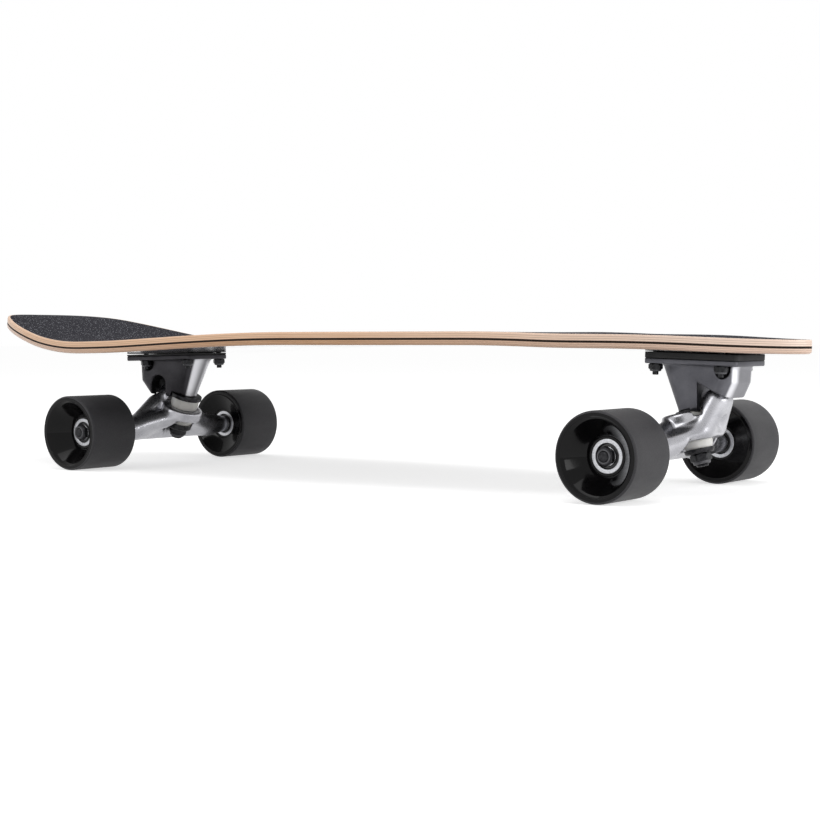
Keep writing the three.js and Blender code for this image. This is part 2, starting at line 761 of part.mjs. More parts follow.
function makeStack(truck) {
  const hole = kingpinRadius + pieceGap;
  const upperWasher = ring(hole, truck.upperWasherRadius, upperBushingTop + pieceGap, upperWasherTop,
    stackSides);
  const upperBushing = ring(hole, upperBushingRadius, ringFace + pieceGap, upperBushingTop, stackSides);
  const lowerBushing = turned([[hole, -ringFace - pieceGap], [lowerBushingRadius, -ringFace - pieceGap],
    [lowerBushingEndRadius, -cupWasherRim], [lowerBushingEndRadius, -lowerBushingFoot],
    [hole, -lowerBushingFoot], [hole, -ringFace - pieceGap]], stackSides);
  const cupInner = cupWasherRadius - cupWallThickness;
  const cupFloor = -lowerBushingFoot - pieceGap;
  const cupWasher = turned([[hole, cupFloor], [cupInner, cupFloor], [cupInner, -cupWasherRim],
    [cupWasherRadius, -cupWasherRim], [cupWasherRadius, -cupWasherFoot], [hole, -cupWasherFoot],
    [hole, cupFloor]], stackSides);
  const nut = hexagon(kingpinNutAcross, -kingpinNutFoot, -kingpinNutTop, hole, roundSides);
  const stack = new THREE.Group();
  stack.applyMatrix4(axisMatrix(truck.ringCentre, truck.kingpinLean));
  stack.add(
    makeKingpin(truck),
    namedMesh(`${truck.name}_upper_washer`, upperWasher, blackSteelColour, 0.3, 0.9),
    namedMesh(`${truck.name}_upper_bushing`, upperBushing, bushingColour, 0.5, 0),
    namedMesh(`${truck.name}_lower_bushing`, lowerBushing, bushingColour, 0.5, 0),
    namedMesh(`${truck.name}_lower_washer`, cupWasher, blackSteelColour, 0.3, 0.9),
    namedMesh(`${truck.name}_kingpin_nut`, nut, blackSteelColour, 0.35, 0.9),
  );
  return stack;
}

// Hangers

// Space that the boss, the washers, the nut and the kingpin fill, with the swing clearance
function stackRoom(truck) {
  const flangeAt = upKingpin(truck, truck.flangeBottom);
  const washer = truck.upperWasherRadius + swingClearance;
  const cup = cupWasherRadius + swingClearance;
  const nut = kingpinNutAcross / Math.sqrt(3) + swingClearance;
  const pin = kingpinRadius + swingClearance;
  const washerFoot = upperBushingTop + pieceGap - swingClearance;
  const washerHead = bossFace + swingClearance;
  const cupRim = -cupWasherRim + swingClearance;
  const cupFoot = -cupWasherFoot - swingClearance;
  const foot = -kingpinFoot - 2 * cutOverrun;
  return turned([[0, flangeAt], [truck.bossRootRadius + swingClearance, flangeAt],
    [bossEndRadius + swingClearance, washerHead], [washer, washerHead], [washer, washerFoot],
    [pin, washerFoot], [pin, cupRim], [cup, cupRim], [cup, cupFoot], [nut, cupFoot], [nut, foot],
    [0, foot]], swingSides);
}

// Space that the boss and the tower fill, with the swing clearance, open round neck and pin
function pedestalRoom(truck) {
  const steering = axisMatrix(truck.pivot, truck.steerLean);
  const neckRoom = rod(neckRoomRadius - swingClearance, -neckLength - cutOverrun, -pivotCupMouth, swingSides);
  const pinRoom = rod(pivotPinRadius + pieceGap, -neckLength, pivotCupTop, swingSides);
  return cut(pedestal(truck, swingClearance), [archTool(truck, swingClearance),
    toSolid(neckRoom.applyMatrix4(steering)), toSolid(pinRoom.applyMatrix4(steering))]);
}

// Both rooms as they sweep through the hanger while that steers from limit to limit
function sweptRoom(truck) {
  const stack = stackRoom(truck).applyMatrix4(axisMatrix(truck.ringCentre, truck.kingpinLean));
  const shapes = [stack, toGeometry(pedestalRoom(truck))];
  const rooms = [];
  for (let step = 0; step <= swingSteps; step += 1) {
    const angle = truck.limit * (2 * step / swingSteps - 1);
    const turn = turnMatrix(truck.ringCentre, truck.steerAxis, angle);
    rooms.push(...shapes.map((shape) => toSolid(shape.clone().applyMatrix4(turn))));
  }
  return rooms;
}

// Bars of one half of the front hanger: a band past the ring up to the neck, a crown over the housing
function frontArms(truck, hand) {
  const from = (out, across, up) => truck.axle.clone().add(new THREE.Vector3(out, hand * across, up));
  const knee = truck.ringCentre.clone().add(
    new THREE.Vector3(frontBandKneeOut, hand * frontBandKneeSpread, 0));
  const neck = truck.pivot.clone().addScaledVector(truck.steerAxis, -frontNeckAt);
  neck.y = hand * frontBandNeckSpread;
  return [
    bar(from(0, frontBandSpread, 0), frontBandRadius, knee, frontBandKneeRadius),
    bar(knee, frontBandKneeRadius, neck, frontBandNeckRadius),
    bar(from(0, frontCrownSpread, frontCrownUp), frontCrownRadius,
      from(frontCrownEndOut, frontCrownEndSpread, frontCrownEndUp), frontCrownRadius),
  ];
}

// Bars of one half of the rear hanger: an arm to the ring, a web over the housing and the neck
function rearArms(truck, hand) {
  const from = (out, across, up) => truck.axle.clone().add(new THREE.Vector3(out, hand * across, up));
  const neck = truck.pivot.clone().addScaledVector(truck.steerAxis, -rearNeckAt);
  neck.y = hand * rearNeckSpread;
  const ringSide = truck.ringCentre.clone();
  ringSide.y = hand * rearNeckSpread;
  return [
    bar(from(0, rearArmSpread, 0), rearArmRadius,
      from(rearArmEndOut, rearArmEndSpread, rearArmEndUp), rearArmRadius),
    bar(from(0, rearWebSpread, rearWebUp), rearWebRadius,
      from(rearWebEndOut, rearWebEndSpread, rearWebEndUp), rearWebEndRadius),
    bar(ringSide, rearNeckBarRadius, neck, rearNeckBarRadius),
  ];
}

function makeHanger(truck) {
  const kingpin = axisMatrix(truck.ringCentre, truck.kingpinLean);
  const steering = axisMatrix(truck.pivot, truck.steerLean);
  const { x, z } = truck.axle;
  const housing = turned([[0, -housingEndAt], [housingEndRadius, -housingEndAt],
    [truck.housingRadius, -housingTaperAt], [truck.housingRadius, housingTaperAt],
    [housingEndRadius, housingEndAt], [0, housingEndAt]], roundSides).translate(x, 0, z);
  const pin = turned([[0, -neckLength], [neckRadius, -neckLength], [neckShoulderRadius, -neckShoulderAt],
    [neckWaistRadius, -neckWaistAt], [pivotPinRadius, -pivotPinFoot], [pivotPinRadius, pivotPinStraight],
    [pivotPinTipRadius, pivotPinTaper], [0, pivotPinTip]], roundSides).applyMatrix4(steering);
  const eye = rod(ringRadius, -ringFace, ringFace, stackSides).applyMatrix4(kingpin);
  const arms = truck === frontTruck ? frontArms : rearArms;
  const body = joined([housing, pin, eye].map(toSolid).concat(arms(truck, 1), arms(truck, -1)));
  const bushingRoom = upperBushingRadius + pieceGap;
  const holes = [
    rod(axleRadius + pieceGap, -housingEndAt - cutOverrun, housingEndAt + cutOverrun, roundSides)
      .translate(x, 0, z),
    rod(ringHoleRadius, -ringThickness, ringThickness, stackSides).applyMatrix4(kingpin),
    rod(bushingRoom, ringFace, bossFace, stackSides).applyMatrix4(kingpin),
    rod(bushingRoom, -cupWasherFoot, -ringFace, stackSides).applyMatrix4(kingpin),
  ].map(toSolid);
  const solid = cut(body, [...holes, ...sweptRoom(truck)]);
  return namedMesh(`${truck.name}_hanger`, toGeometry(solid), castSilverColour, 0.35, 0.95);
}

// Axle, wheels, bearings and axle nuts, about the axle's middle

function wheelProfile() {
  const corner = 1 / Math.cos(Math.PI / wheelSides);
  const treadRadius = wheelDiameter / 2 * corner;
  const face = wheelWidth / 2;
  const seatRadius = bearingRadius + pieceGap;
  const landHalf = bearingSpacing / 2 - pieceGap;
  const seatEnd = bearingSpacing / 2 + bearingWidth + 2 * pieceGap;
  const half = (out) => {
    const land = out * landHalf - coreInboard;
    const recess = out * seatEnd - coreInboard;
    return [[landRadius, land], [seatRadius, land], [seatRadius, recess], [hubRadius, recess],
      [lipRadius, out * face], [treadRadius, out * face]];
  };
  const outer = half(1);
  return [...outer, ...half(-1).reverse(), outer[0]];
}

function makeAxleSet(truck) {
  const set = new THREE.Group();
  const axle = rod(axleRadius, -axleLength / 2, axleLength / 2, roundSides);
  set.add(namedMesh(`${truck.name}_axle`, axle, steelColour, 0.3, 0.95));
  for (const [hand, word] of [[1, 'left'], [-1, 'right']]) {
    const corner = new THREE.Group();
    const prefix = `${truck.name}_${word}`;
    const spin = Math.PI / wheelSides;
    const wheel = namedMesh(`${prefix}_wheel`, turned(wheelProfile(), wheelSides, spin), treadColour, 0.5, 0);
    const bearing = () => ring(axleRadius + pieceGap, bearingRadius, -bearingWidth / 2, bearingWidth / 2,
      roundSides);
    const bearingAt = (bearingSpacing + bearingWidth) / 2;
    const nutAt = axleNutEnd - wheelCentre;
    const outer = namedMesh(`${prefix}_outer_bearing`, bearing(), steelColour, 0.25, 0.95);
    const inner = namedMesh(`${prefix}_inner_bearing`, bearing(), steelColour, 0.25, 0.95);
    outer.position.y = bearingAt - coreInboard;
    inner.position.y = -bearingAt - coreInboard;
    const nut = hexagon(axleNutAcross, nutAt - axleNutHeight, nutAt, axleRadius + pieceGap, roundSides);
    corner.add(wheel, outer, inner, namedMesh(`${prefix}_axle_nut`, nut, blackSteelColour, 0.35, 0.9));
    corner.position.y = hand * wheelCentre;
    corner.rotation.x = hand > 0 ? 0 : Math.PI;
    set.add(corner);
  }
  set.position.set(truck.side * (truck.plateAt + truck.axleOut), 0, axleHeight);
  return set;
}

function makeTruck(truck) {
  const group = truckGroup(truck);
  group.add(
    makeRiser(truck), makeBaseplate(truck), makePivotCup(truck), makeStack(truck), makeHanger(truck),
    ...makeDeckFasteners(truck),
  );
  return group;
}

const board = new THREE.Group();
board.position.x = boardShift;
board.add(...makeDeck());
for (const truck of [frontTruck, rearTruck]) {
  board.add(makeTruck(truck), makeAxleSet(truck));
}

export default board;
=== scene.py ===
import math

import bmesh
import bpy
import numpy as np
from mathutils import Matrix, Vector


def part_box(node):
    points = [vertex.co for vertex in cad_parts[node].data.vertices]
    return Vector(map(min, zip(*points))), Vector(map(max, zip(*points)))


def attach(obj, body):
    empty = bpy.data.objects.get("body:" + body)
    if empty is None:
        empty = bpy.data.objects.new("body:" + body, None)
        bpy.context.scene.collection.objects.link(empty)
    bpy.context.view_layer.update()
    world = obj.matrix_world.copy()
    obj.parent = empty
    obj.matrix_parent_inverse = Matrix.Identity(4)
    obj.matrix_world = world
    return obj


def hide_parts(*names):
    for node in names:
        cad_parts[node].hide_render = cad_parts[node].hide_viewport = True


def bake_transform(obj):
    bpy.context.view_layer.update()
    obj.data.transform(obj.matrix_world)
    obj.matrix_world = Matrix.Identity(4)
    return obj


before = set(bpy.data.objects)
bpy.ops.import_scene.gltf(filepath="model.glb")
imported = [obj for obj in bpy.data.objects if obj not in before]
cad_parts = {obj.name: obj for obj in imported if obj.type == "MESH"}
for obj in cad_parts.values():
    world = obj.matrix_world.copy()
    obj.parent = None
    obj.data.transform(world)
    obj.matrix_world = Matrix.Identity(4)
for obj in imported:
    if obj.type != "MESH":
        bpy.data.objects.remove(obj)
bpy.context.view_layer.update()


# Camera, lamps and floor
# A low three-quarter view from the board's right side, on a pale sweep under soft lamps.
# Only the floor and the sky turn white for the eye; the board itself is lit at a plain level.

camera_place = (0.85615, -1.06812, 0.11535)
camera_azimuth = math.radians(34.3605)
camera_elevation = math.radians(4.5347)
camera_roll = math.radians(-0.1249)
picture_width = 820
sight_length = 1566.15
sight_centre = (479.28, 464.47)
sensor_width = 36.0

camera = bpy.data.objects.new("camera", bpy.data.cameras.new("camera"))
bpy.context.scene.collection.objects.link(camera)
bpy.context.scene.camera = camera
upright = Matrix.Rotation(camera_azimuth, 4, "Z")
tilt = Matrix.Rotation(math.pi / 2 - camera_elevation, 4, "X")
roll = Matrix.Rotation(camera_roll, 4, "Z")
camera.matrix_world = Matrix.Translation(camera_place) @ upright @ tilt @ roll
camera.data.sensor_fit = "HORIZONTAL"
camera.data.sensor_width = sensor_width
camera.data.lens = sight_length / picture_width * sensor_width
camera.data.shift_x = 0.5 - sight_centre[0] / picture_width
camera.data.shift_y = sight_centre[1] / picture_width - 0.5
camera.data.clip_start = 0.01
camera.data.clip_end = 100.0
bpy.context.scene.view_settings.view_transform = "Standard"


def add_lamp(name, place, target, width, height, watts):
    """A soft box: a rectangle of light at a place, turned to face its target."""
    data = bpy.data.lights.new(name, "AREA")
    data.shape = "RECTANGLE"
    data.size = width
    data.size_y = height
    data.energy = watts
    lamp = bpy.data.objects.new(name, data)
    bpy.context.scene.collection.objects.link(lamp)
    lamp.location = place
    lamp.rotation_euler = (Vector(target) - Vector(place)).to_track_quat("-Z", "Y").to_euler()


add_lamp("overhead_lamp", (0.0, -0.2, 1.9), (0, 0, 0.1), 2.2, 1.2, 14)
add_lamp("nose_lamp", (1.55, 0.05, 0.42), (0.3, 0, 0.06), 1.1, 0.6, 9)
add_lamp("side_lamp", (-0.7, -1.9, 1.0), (0, 0, 0.08), 1.2, 0.8, 10)


def add_node(material, kind, inputs=None, **settings):
    """One shader node; each input is a value or the output of another node."""
    made = material.node_tree.nodes.new("ShaderNode" + kind)
    for name, value in settings.items():
        setattr(made, name, value)
    for socket, value in (inputs or {}).items():
        if isinstance(value, bpy.types.NodeSocket):
            material.node_tree.links.new(value, made.inputs[socket])
        else:
            made.inputs[socket].default_value = value
    return made


def reckon(material, operation, *inputs):
    """One step of arithmetic in a shader."""
    return add_node(material, "Math", dict(enumerate(inputs)), operation=operation).outputs[0]


def seen_share(material):
    """1 for rays that the eye, a gloss or clear matter sends, and 0 for the light on the board."""
    path = add_node(material, "LightPath").outputs
    glossy = reckon(material, "MAXIMUM", path["Is Camera Ray"], path["Is Glossy Ray"])
    return reckon(material, "MAXIMUM", glossy, path["Is Transmission Ray"])


sky_light = 0.48
sky = bpy.data.worlds.new("sky")
bpy.context.scene.world = sky
sky.use_nodes = True
strength = add_node(sky, "MapRange", {0: seen_share(sky), 3: sky_light, 4: 1.0})
sky.node_tree.nodes["Background"].inputs["Color"].default_value = (1, 1, 1, 1)
sky.node_tree.links.new(strength.outputs[0], sky.node_tree.nodes["Background"].inputs["Strength"])

floor_reach, floor_height, floor_glow = 30.0, -0.0003, 0.6
floor_mesh = bpy.data.meshes.new("floor")
floor_mesh.from_pydata(
    [(x, y, floor_height) for x, y in ((-1, -1), (1, -1), (1, 1), (-1, 1))], [], [(0, 1, 2, 3)])
floor_mesh.transform(Matrix.Diagonal((floor_reach, floor_reach, 1, 1)))
floor = bpy.data.objects.new("floor", floor_mesh)
bpy.context.scene.collection.objects.link(floor)
floor_finish = bpy.data.materials.new("floor_paper")
floor_finish.use_nodes = True
paper = floor_finish.node_tree.nodes["Principled BSDF"]
paper.inputs["Base Color"].default_value = (0.8, 0.8, 0.8, 1)
paper.inputs["Roughness"].default_value = 1.0
paper.inputs["Specular IOR Level"].default_value = 0.0
paper.inputs["Emission Color"].default_value = (1, 1, 1, 1)
lift = reckon(floor_finish, "MULTIPLY", seen_share(floor_finish), floor_glow)
floor_finish.node_tree.links.new(lift, paper.inputs["Emission Strength"])
floor_mesh.materials.append(floor_finish)


# Deck laminate
# Three tan plies, one black core ply and three pale plies of maple, pressed in a mould and
# sawn to outline. The rails are sanded round and lacquered, the underside is stained black, and
# a sheet of grit paper is glued on top.

nose_reach, tail_reach, deck_width = 380.0, 450.0, 245.9
board_shift = (tail_reach - nose_reach) / 2
widest_behind_middle = 100.0
nose_fullness, nose_corner = 1.6, 1.8
tail_fullness, tail_corner = 2.8, 2.4
wheel_radius = 33.2
crown_height = wheel_radius + 78.1
front_drop, front_drop_start, front_drop_end = 6.5, 140.0, 340.0
rear_drop, rear_drop_start, rear_drop_end = 8.6, 20.0, 300.0
kick_start, kick_bend, release_after, release_bend = 262.0, 85.0, 140.0, 45.0
kick_rise = math.tan(math.radians(13))
tip_rise = math.tan(math.radians(3))
middle_dish, nose_dish, tail_dish, dish_at, dish_reach = 0.6, 2.3, 0.9, 290.0, 90.0
deck_levels = {"bottom": (0.0, 4.02), "core": (4.03, 5.57), "top": (5.58, 9.72), "grip": (9.73, 10.5)}
grip_inset, rail_lip, lip_slant = 2.4, 0.72, 0.15
nose_narrowing, narrow_start, narrow_bend = 0.6, 160.0, 140.0
slope_step = 0.65
sharp_angle = 38.0


def smooth(share):
    """3s² - 2s³, with s held between 0 and 1."""
    kept = np.clip(share, 0, 1)
    return kept * kept * (3 - 2 * kept)


def ramp_area(distance, bend):
    """Area under a line that climbs from 0 to 1 over the bend and stays at 1."""
    past = np.maximum(distance, 0)
    bent = np.minimum(past, bend)
    return bent * bent / (2 * bend) + past - bent


def bump(share):
    """(1 - s²)², which is 0 beyond s = 1."""
    kept = np.minimum(np.abs(share), 1)
    return (1 - kept * kept) ** 2


def half_width(x):
    """Half the deck's width: (1 - s^fullness)^(1/corner) times half the greatest width."""
    from_widest = x + widest_behind_middle
    ahead = from_widest > 0
    reach = np.where(ahead, nose_reach + widest_behind_middle, tail_reach - widest_behind_middle)
    fullness = np.where(ahead, nose_fullness, tail_fullness)
    corner = np.where(ahead, nose_corner, tail_corner)
    share = np.minimum(np.abs(from_widest) / reach, 1)
    return deck_width / 2 * (1 - share ** fullness) ** (1 / corner)


def underside(x):
    """Height of the deck's underside: a flat crown, a soft fall to each truck, then the kick."""
    nose_fall = front_drop * smooth((x - front_drop_start) / (front_drop_end - front_drop_start))
    tail_fall = rear_drop * smooth((-x - rear_drop_start) / (rear_drop_end - rear_drop_start))
    climb = kick_rise * ramp_area(-x - kick_start, kick_bend)
    release = (kick_rise - tip_rise) * ramp_area(-x - kick_start - release_after, release_bend)
    return crown_height - nose_fall - tail_fall + climb - release


def slope(x):
    return (underside(x + slope_step) - underside(x - slope_step)) / (2 * slope_step)


def deck_points(x, y, level):
    """Points of the deck over the plan (x, y), a level above the underside along its normal."""
    share = np.clip(y / np.maximum(half_width(x), 1e-3), -1, 1)
    over_trucks = (nose_dish * bump((x - dish_at) / dish_reach)
                   + tail_dish * bump((x + dish_at) / dish_reach))
    dish = middle_dish * (y / (deck_width / 2)) ** 2 + over_trucks * share ** 2
    steep = slope(x)
    upright = 1 / np.hypot(1, steep)
    height = underside(x) + dish + level * upright
    return np.stack([x - steep * level * upright + board_shift, y, height], -1)


def grid_faces(rows, columns, wrap_rows=False, wrap_columns=False):
    """Corner numbers of a grid's faces; a direction that wraps joins its end to its start."""
    row = np.arange(rows if wrap_rows else rows - 1)
    column = np.arange(columns if wrap_columns else columns - 1)
    row, column = np.meshgrid(row, column, indexing="ij")
    below, beside = (row + 1) % rows, (column + 1) % columns
    corners = ((row, column), (below, column), (below, beside), (row, beside))
    return np.stack([r * columns + c for r, c in corners], -1).reshape(-1, 4)


def make_piece(name, shells, finishes, node, body, slot, sharp=sharp_angle, weld=True):
    """Joins shells into one closed piece, faces outwards, on its body and in place of its node.
    A shell is (points in mm, faces, finish number or one for each face, and UV for each point)."""
    start = 0
    points, faces, numbers, places = [], [], [], []
    for shell in shells:
        shell_points, shell_faces, number = shell[:3]
        uv = shell[3] if len(shell) > 3 else shell_points[:, :2] * 0.001
        points.append(shell_points)
        faces.append(shell_faces + start)
        numbers.append(np.broadcast_to(number, len(shell_faces)))
        places.append(uv[shell_faces.ravel()])
        start += len(shell_points)
    mesh = bpy.data.meshes.new(name)
    mesh.from_pydata((np.concatenate(points) * 0.001).tolist(), [], np.concatenate(faces).tolist())
    mesh.polygons.foreach_set("material_index", np.concatenate(numbers).astype(np.int32))
    mesh.uv_layers.new(name="own").data.foreach_set("uv", np.concatenate(places).ravel())
    work = bmesh.new()
    work.from_mesh(mesh)
    if weld:
        bmesh.ops.remove_doubles(work, verts=work.verts, dist=2e-6)
        bmesh.ops.dissolve_degenerate(work, dist=1e-7, edges=work.edges)
    bmesh.ops.recalc_face_normals(work, faces=work.faces)
    if work.calc_volume(signed=True) < 0:
        bmesh.ops.reverse_faces(work, faces=work.faces)
    work.to_mesh(mesh)
    work.free()
    mesh.polygons.foreach_set("use_smooth", np.ones(len(mesh.polygons), dtype=bool))
    mesh.set_sharp_from_angle(angle=math.radians(sharp))
    for finish in finishes:
        mesh.materials.append(finish)
    piece = bpy.data.objects.new(name, mesh)
    bpy.context.scene.collection.objects.link(piece)
    if node:
        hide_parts(node)
    if body:
        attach(piece, body)
    return piece


def linear(colour):
    """The light in a colour as a screen shows it, 0 to 255; a node's output stays as it is."""
    if isinstance(colour, bpy.types.NodeSocket):
        return colour
    tone = np.array(colour) / 255
    return (*np.where(tone <= 0.04045, tone / 12.92, ((tone + 0.055) / 1.055) ** 2.4), 1.0)


def new_finish(name, colour, roughness, metallic=0.0, **fixed):
    """A plain shader with the sockets that stay the same all over the surface."""
    finish = bpy.data.materials.new(name)
    finish.use_nodes = True
    sockets = {"Base Color": linear(colour), "Roughness": roughness, "Metallic": metallic, **fixed}
    for socket, value in sockets.items():
        finish.node_tree.nodes["Principled BSDF"].inputs[socket.replace("_", " ")].default_value = value
    return finish


def feed(finish, socket, output):
    finish.node_tree.links.new(output, finish.node_tree.nodes["Principled BSDF"].inputs[socket])


def own_place(finish, source="Object"):
    return add_node(finish, "TexCoord").outputs[source]


def grain(finish, scale, detail=4.0, stretch=(1, 1, 1), source="Object", roughness=0.55):
    """Noise over the piece's own coordinates, each axis stretched by its factor."""
    laid = add_node(finish, "Mapping", {"Vector": own_place(finish, source), "Scale": stretch}).outputs[0]
    return add_node(finish, "TexNoise", {"Vector": laid, "Scale": scale, "Detail": detail,
                                         "Roughness": roughness}).outputs["Fac"]


def spread(finish, source, low, high, from_low=0.3, from_high=0.7):
    """Maps a noise on to a range of numbers."""
    return add_node(finish, "MapRange", {0: source, 1: from_low, 2: from_high, 3: low, 4: high}).outputs[0]


def tint(finish, share, first, second):
    """Colour that runs from the first to the second as the share goes from 0 to 1."""
    ends = {0: share, 6: linear(first), 7: linear(second)}
    return add_node(finish, "Mix", ends, data_type="RGBA").outputs[2]


def relief(finish, height, depth, strength, under=None):
    """Small relief of a depth in metres, laid over another one where that is given."""
    inputs = {"Height": height, "Distance": depth, "Strength": strength}
    if under is not None:
        inputs["Normal"] = under
    return add_node(finish, "Bump", inputs).outputs[0]


def grained(name, base, roughness, laid, tones, gloss=None, skin=None, metallic=0.0, **fixed):
    """A finish whose tone runs with one grain, and so do its gloss and its relief where those are
    given. The grain is laid by (scale, detail, stretch, source), the relief by (depth, strength)."""
    finish = new_finish(name, base, roughness, metallic, **fixed)
    noise = grain(finish, *laid)
    feed(finish, "Base Color", tint(finish, spread(finish, noise, 0, 1), *tones))
    if gloss:
        feed(finish, "Roughness", spread(finish, noise, *gloss))
    if skin:
        feed(finish, "Normal", relief(finish, noise, *skin))
    return finish


def maple_rail(name, light, dark, painted_light_tone, joints, both_ends):
    """Sawn edge of three plies: streaks along the rail, painted light that pales it towards the nose or
    both ends, and a dark thread of glue at each joint. UV holds the place along the deck in metres and the
    level in mm."""
    finish = new_finish(name, light, 0.42, Coat_Weight=0.25, Coat_Roughness=0.15)
    streaks = grain(finish, 1.0, 5.0, (28, 2.6, 1), "UV")
    fine = grain(finish, 1.0, 3.0, (260, 7.0, 1), "UV")
    colour = tint(finish, spread(finish, streaks, 0, 1), light, dark)
    colour = tint(finish, spread(finish, fine, 0, 0.35), colour, dark)
    parts = add_node(finish, "SeparateXYZ", {0: own_place(finish, "UV")}).outputs
    along = reckon(finish, "ABSOLUTE", parts[0]) if both_ends else parts[0]
    # Painted light: the rail turns paler towards the nose, or towards both ends.
    colour = tint(finish, spread(finish, along, 0, 0.85, 0.06, 0.36), colour, painted_light_tone)
    for joint in joints:
        far = reckon(finish, "ABSOLUTE", reckon(finish, "SUBTRACT", parts[1], joint))
        colour = tint(finish, spread(finish, far, 0.75, 0, 0.04, 0.16), colour, (92, 62, 40))
    feed(finish, "Base Color", colour)
    feed(finish, "Roughness", spread(finish, fine, 0.34, 0.52))
    feed(finish, "Normal", relief(finish, fine, 0.00012, 0.5))
    return finish


# The third colour of each rail is its painted light towards the ends.
pale_rail = maple_rail("pale_maple_rail", (236, 199, 168), (212, 168, 130), (232, 210, 195),
                       (5.6, 7.1, 8.6), False)
tan_rail = maple_rail("tan_maple_rail", (206, 164, 126), (172, 126, 86), (222, 194, 176),
                      (0.35, 1.4, 2.7, 3.98), True)
core_finish = grained("black_core_ply", (14, 8, 4), 0.7, (1.0, 4.0, (120, 6, 1), "UV"),
                      ((10, 6, 3), (34, 22, 14)), skin=(0.0001, 0.5), Specular_IOR_Level=0.15)
underside_finish = grained("black_stained_underside", (20, 19, 20), 0.16, (1.0, 6.0, (6, 90, 6)),
                           ((14, 13, 14), (40, 36, 35)), (0.12, 0.2), (0.00003, 0.1),
                           Coat_Weight=0.8, Coat_Roughness=0.05)

grip_finish = new_finish("grit_paper", (32, 32, 37), 0.95, Specular_IOR_Level=0.12)
grit = grain(grip_finish, 950, 3.0, roughness=0.7)
patches = grain(grip_finish, 18)
# Pale flecks over the grit are painted glints of light on its grains.
painted_glint_cells = add_node(grip_finish, "TexVoronoi", {"Vector": own_place(grip_finish), "Scale": 420.0})
grip_colour = tint(grip_finish, spread(grip_finish, grit, 0, 1, 0.35, 0.68), (24, 24, 29), (54, 53, 60))
grip_colour = tint(grip_finish, spread(grip_finish, patches, 0, 0.4), grip_colour, (46, 46, 52))
painted_glint_share = spread(grip_finish, painted_glint_cells.outputs["Distance"], 1, 0, 0.14, 0.24)
feed(grip_finish, "Base Color", tint(grip_finish, painted_glint_share, grip_colour, (176, 177, 184)))
feed(grip_finish, "Normal", relief(grip_finish, grit, 0.0006, 0.8))

stations = 150
across = np.sin(np.linspace(0, 1, 12) * np.pi / 2)


def outline(count):
    """Right half of the deck's outline from tail to nose, and its outward normal in plan."""
    middle, half = (nose_reach - tail_reach) / 2, (nose_reach + tail_reach) / 2
    x = middle - half * np.cos(np.linspace(0, np.pi, count))
    y = half_width(x)
    along = np.stack([np.gradient(x), np.gradient(y)], -1)
    along[0], along[-1] = (0, 1), (0, -1)
    along /= np.linalg.norm(along, axis=1, keepdims=True)
    return x, y, np.stack([-along[:, 1], along[:, 0]], -1)


def layer_shell(low, high, low_round, high_round, inset=0.0, lip=0.0):
    """One layer of the deck: lines from the centre line out to the rail, round it and back.
    The rail is drawn in by r (1 - cos a) where its edge is rounded by r over the angle a, and a
    lip, narrower at the nose, stands up round the sheet that is laid inside it."""
    x, y, normal = outline(stations)
    turns = np.linspace(0, np.pi / 2, 5)
    cosine_rest, sine_rest = 1 - np.cos(turns), 1 - np.sin(turns)
    crest = high + lip
    drawn = 1 - nose_narrowing * smooth((x - narrow_start) / narrow_bend) * bool(inset or lip)
    edge_inset = np.concatenate([low_round * sine_rest, high_round * cosine_rest]) + inset
    level = np.concatenate([low + low_round * cosine_rest, crest - high_round * sine_rest])
    if lip:
        edge_inset = np.append(edge_inset, [grip_inset - lip_slant, grip_inset])
        level = np.append(level, [crest, high])
    plain = len(across) - 1
    shares = np.concatenate([across[:-1], np.ones(len(level)), across[-2::-1]])
    level = np.pad(level, plain, mode="edge")
    inset = drawn[:, None] * np.pad(edge_inset, plain, mode="edge")
    edge_x = x[:, None] - inset * normal[:, :1]
    edge_y = np.maximum(y[:, None] - inset * normal[:, 1:], 0)
    column = np.tile(np.arange(len(shares) - 1), stations - 1)
    on_rail = ((column >= plain) & (column < len(shares) - plain - 1)).astype(int)
    shells = []
    for hand in (1, -1):
        points = deck_points(edge_x, hand * edge_y * shares, level).reshape(-1, 3)
        uv = np.stack([points[:, 0] * 0.001, np.tile(level, stations)], -1)
        shells.append((points, grid_faces(stations, len(shares)), on_rail, uv))
    return shells


make_piece("tan_plies", layer_shell(*deck_levels["bottom"], 2.2, 0.0), [underside_finish, tan_rail],
           "deck_bottom_plies", "board", "tan_maple")
make_piece("core_ply", layer_shell(*deck_levels["core"], 0.0, 0.0), [core_finish] * 2,
           "deck_core_ply", "board", "black_core")
top_plies = make_piece("pale_plies", layer_shell(*deck_levels["top"], 0.0, 1.3, lip=rail_lip),
                       [pale_rail] * 2, "deck_top_plies", "board", "pale_maple")
grip = make_piece("grip_sheet", layer_shell(*deck_levels["grip"], 0.0, 0.3, inset=grip_inset + 0.02),
                  [grip_finish] * 2, "grip_tape", "board", "grip_grit")


# Truck places
# Both trucks are set out from the axle: the ring round the kingpin, the pivot and the lean of
# the kingpin. The truck's frame has its origin on the deck's underside, X outwards and Z up.

wheelbase = 543.0


def turn_y(angle):
    c, s = math.cos(angle), math.sin(angle)
    return np.array([[c, 0, s, 0], [0, 1, 0, 0], [-s, 0, c, 0], [0, 0, 0, 1.0]])


def shift(offset):
    moved = np.eye(4)
    moved[:3, 3] = offset
    return moved


def placed(points, place):
    return points @ place[:3, :3].T + place[:3, 3]


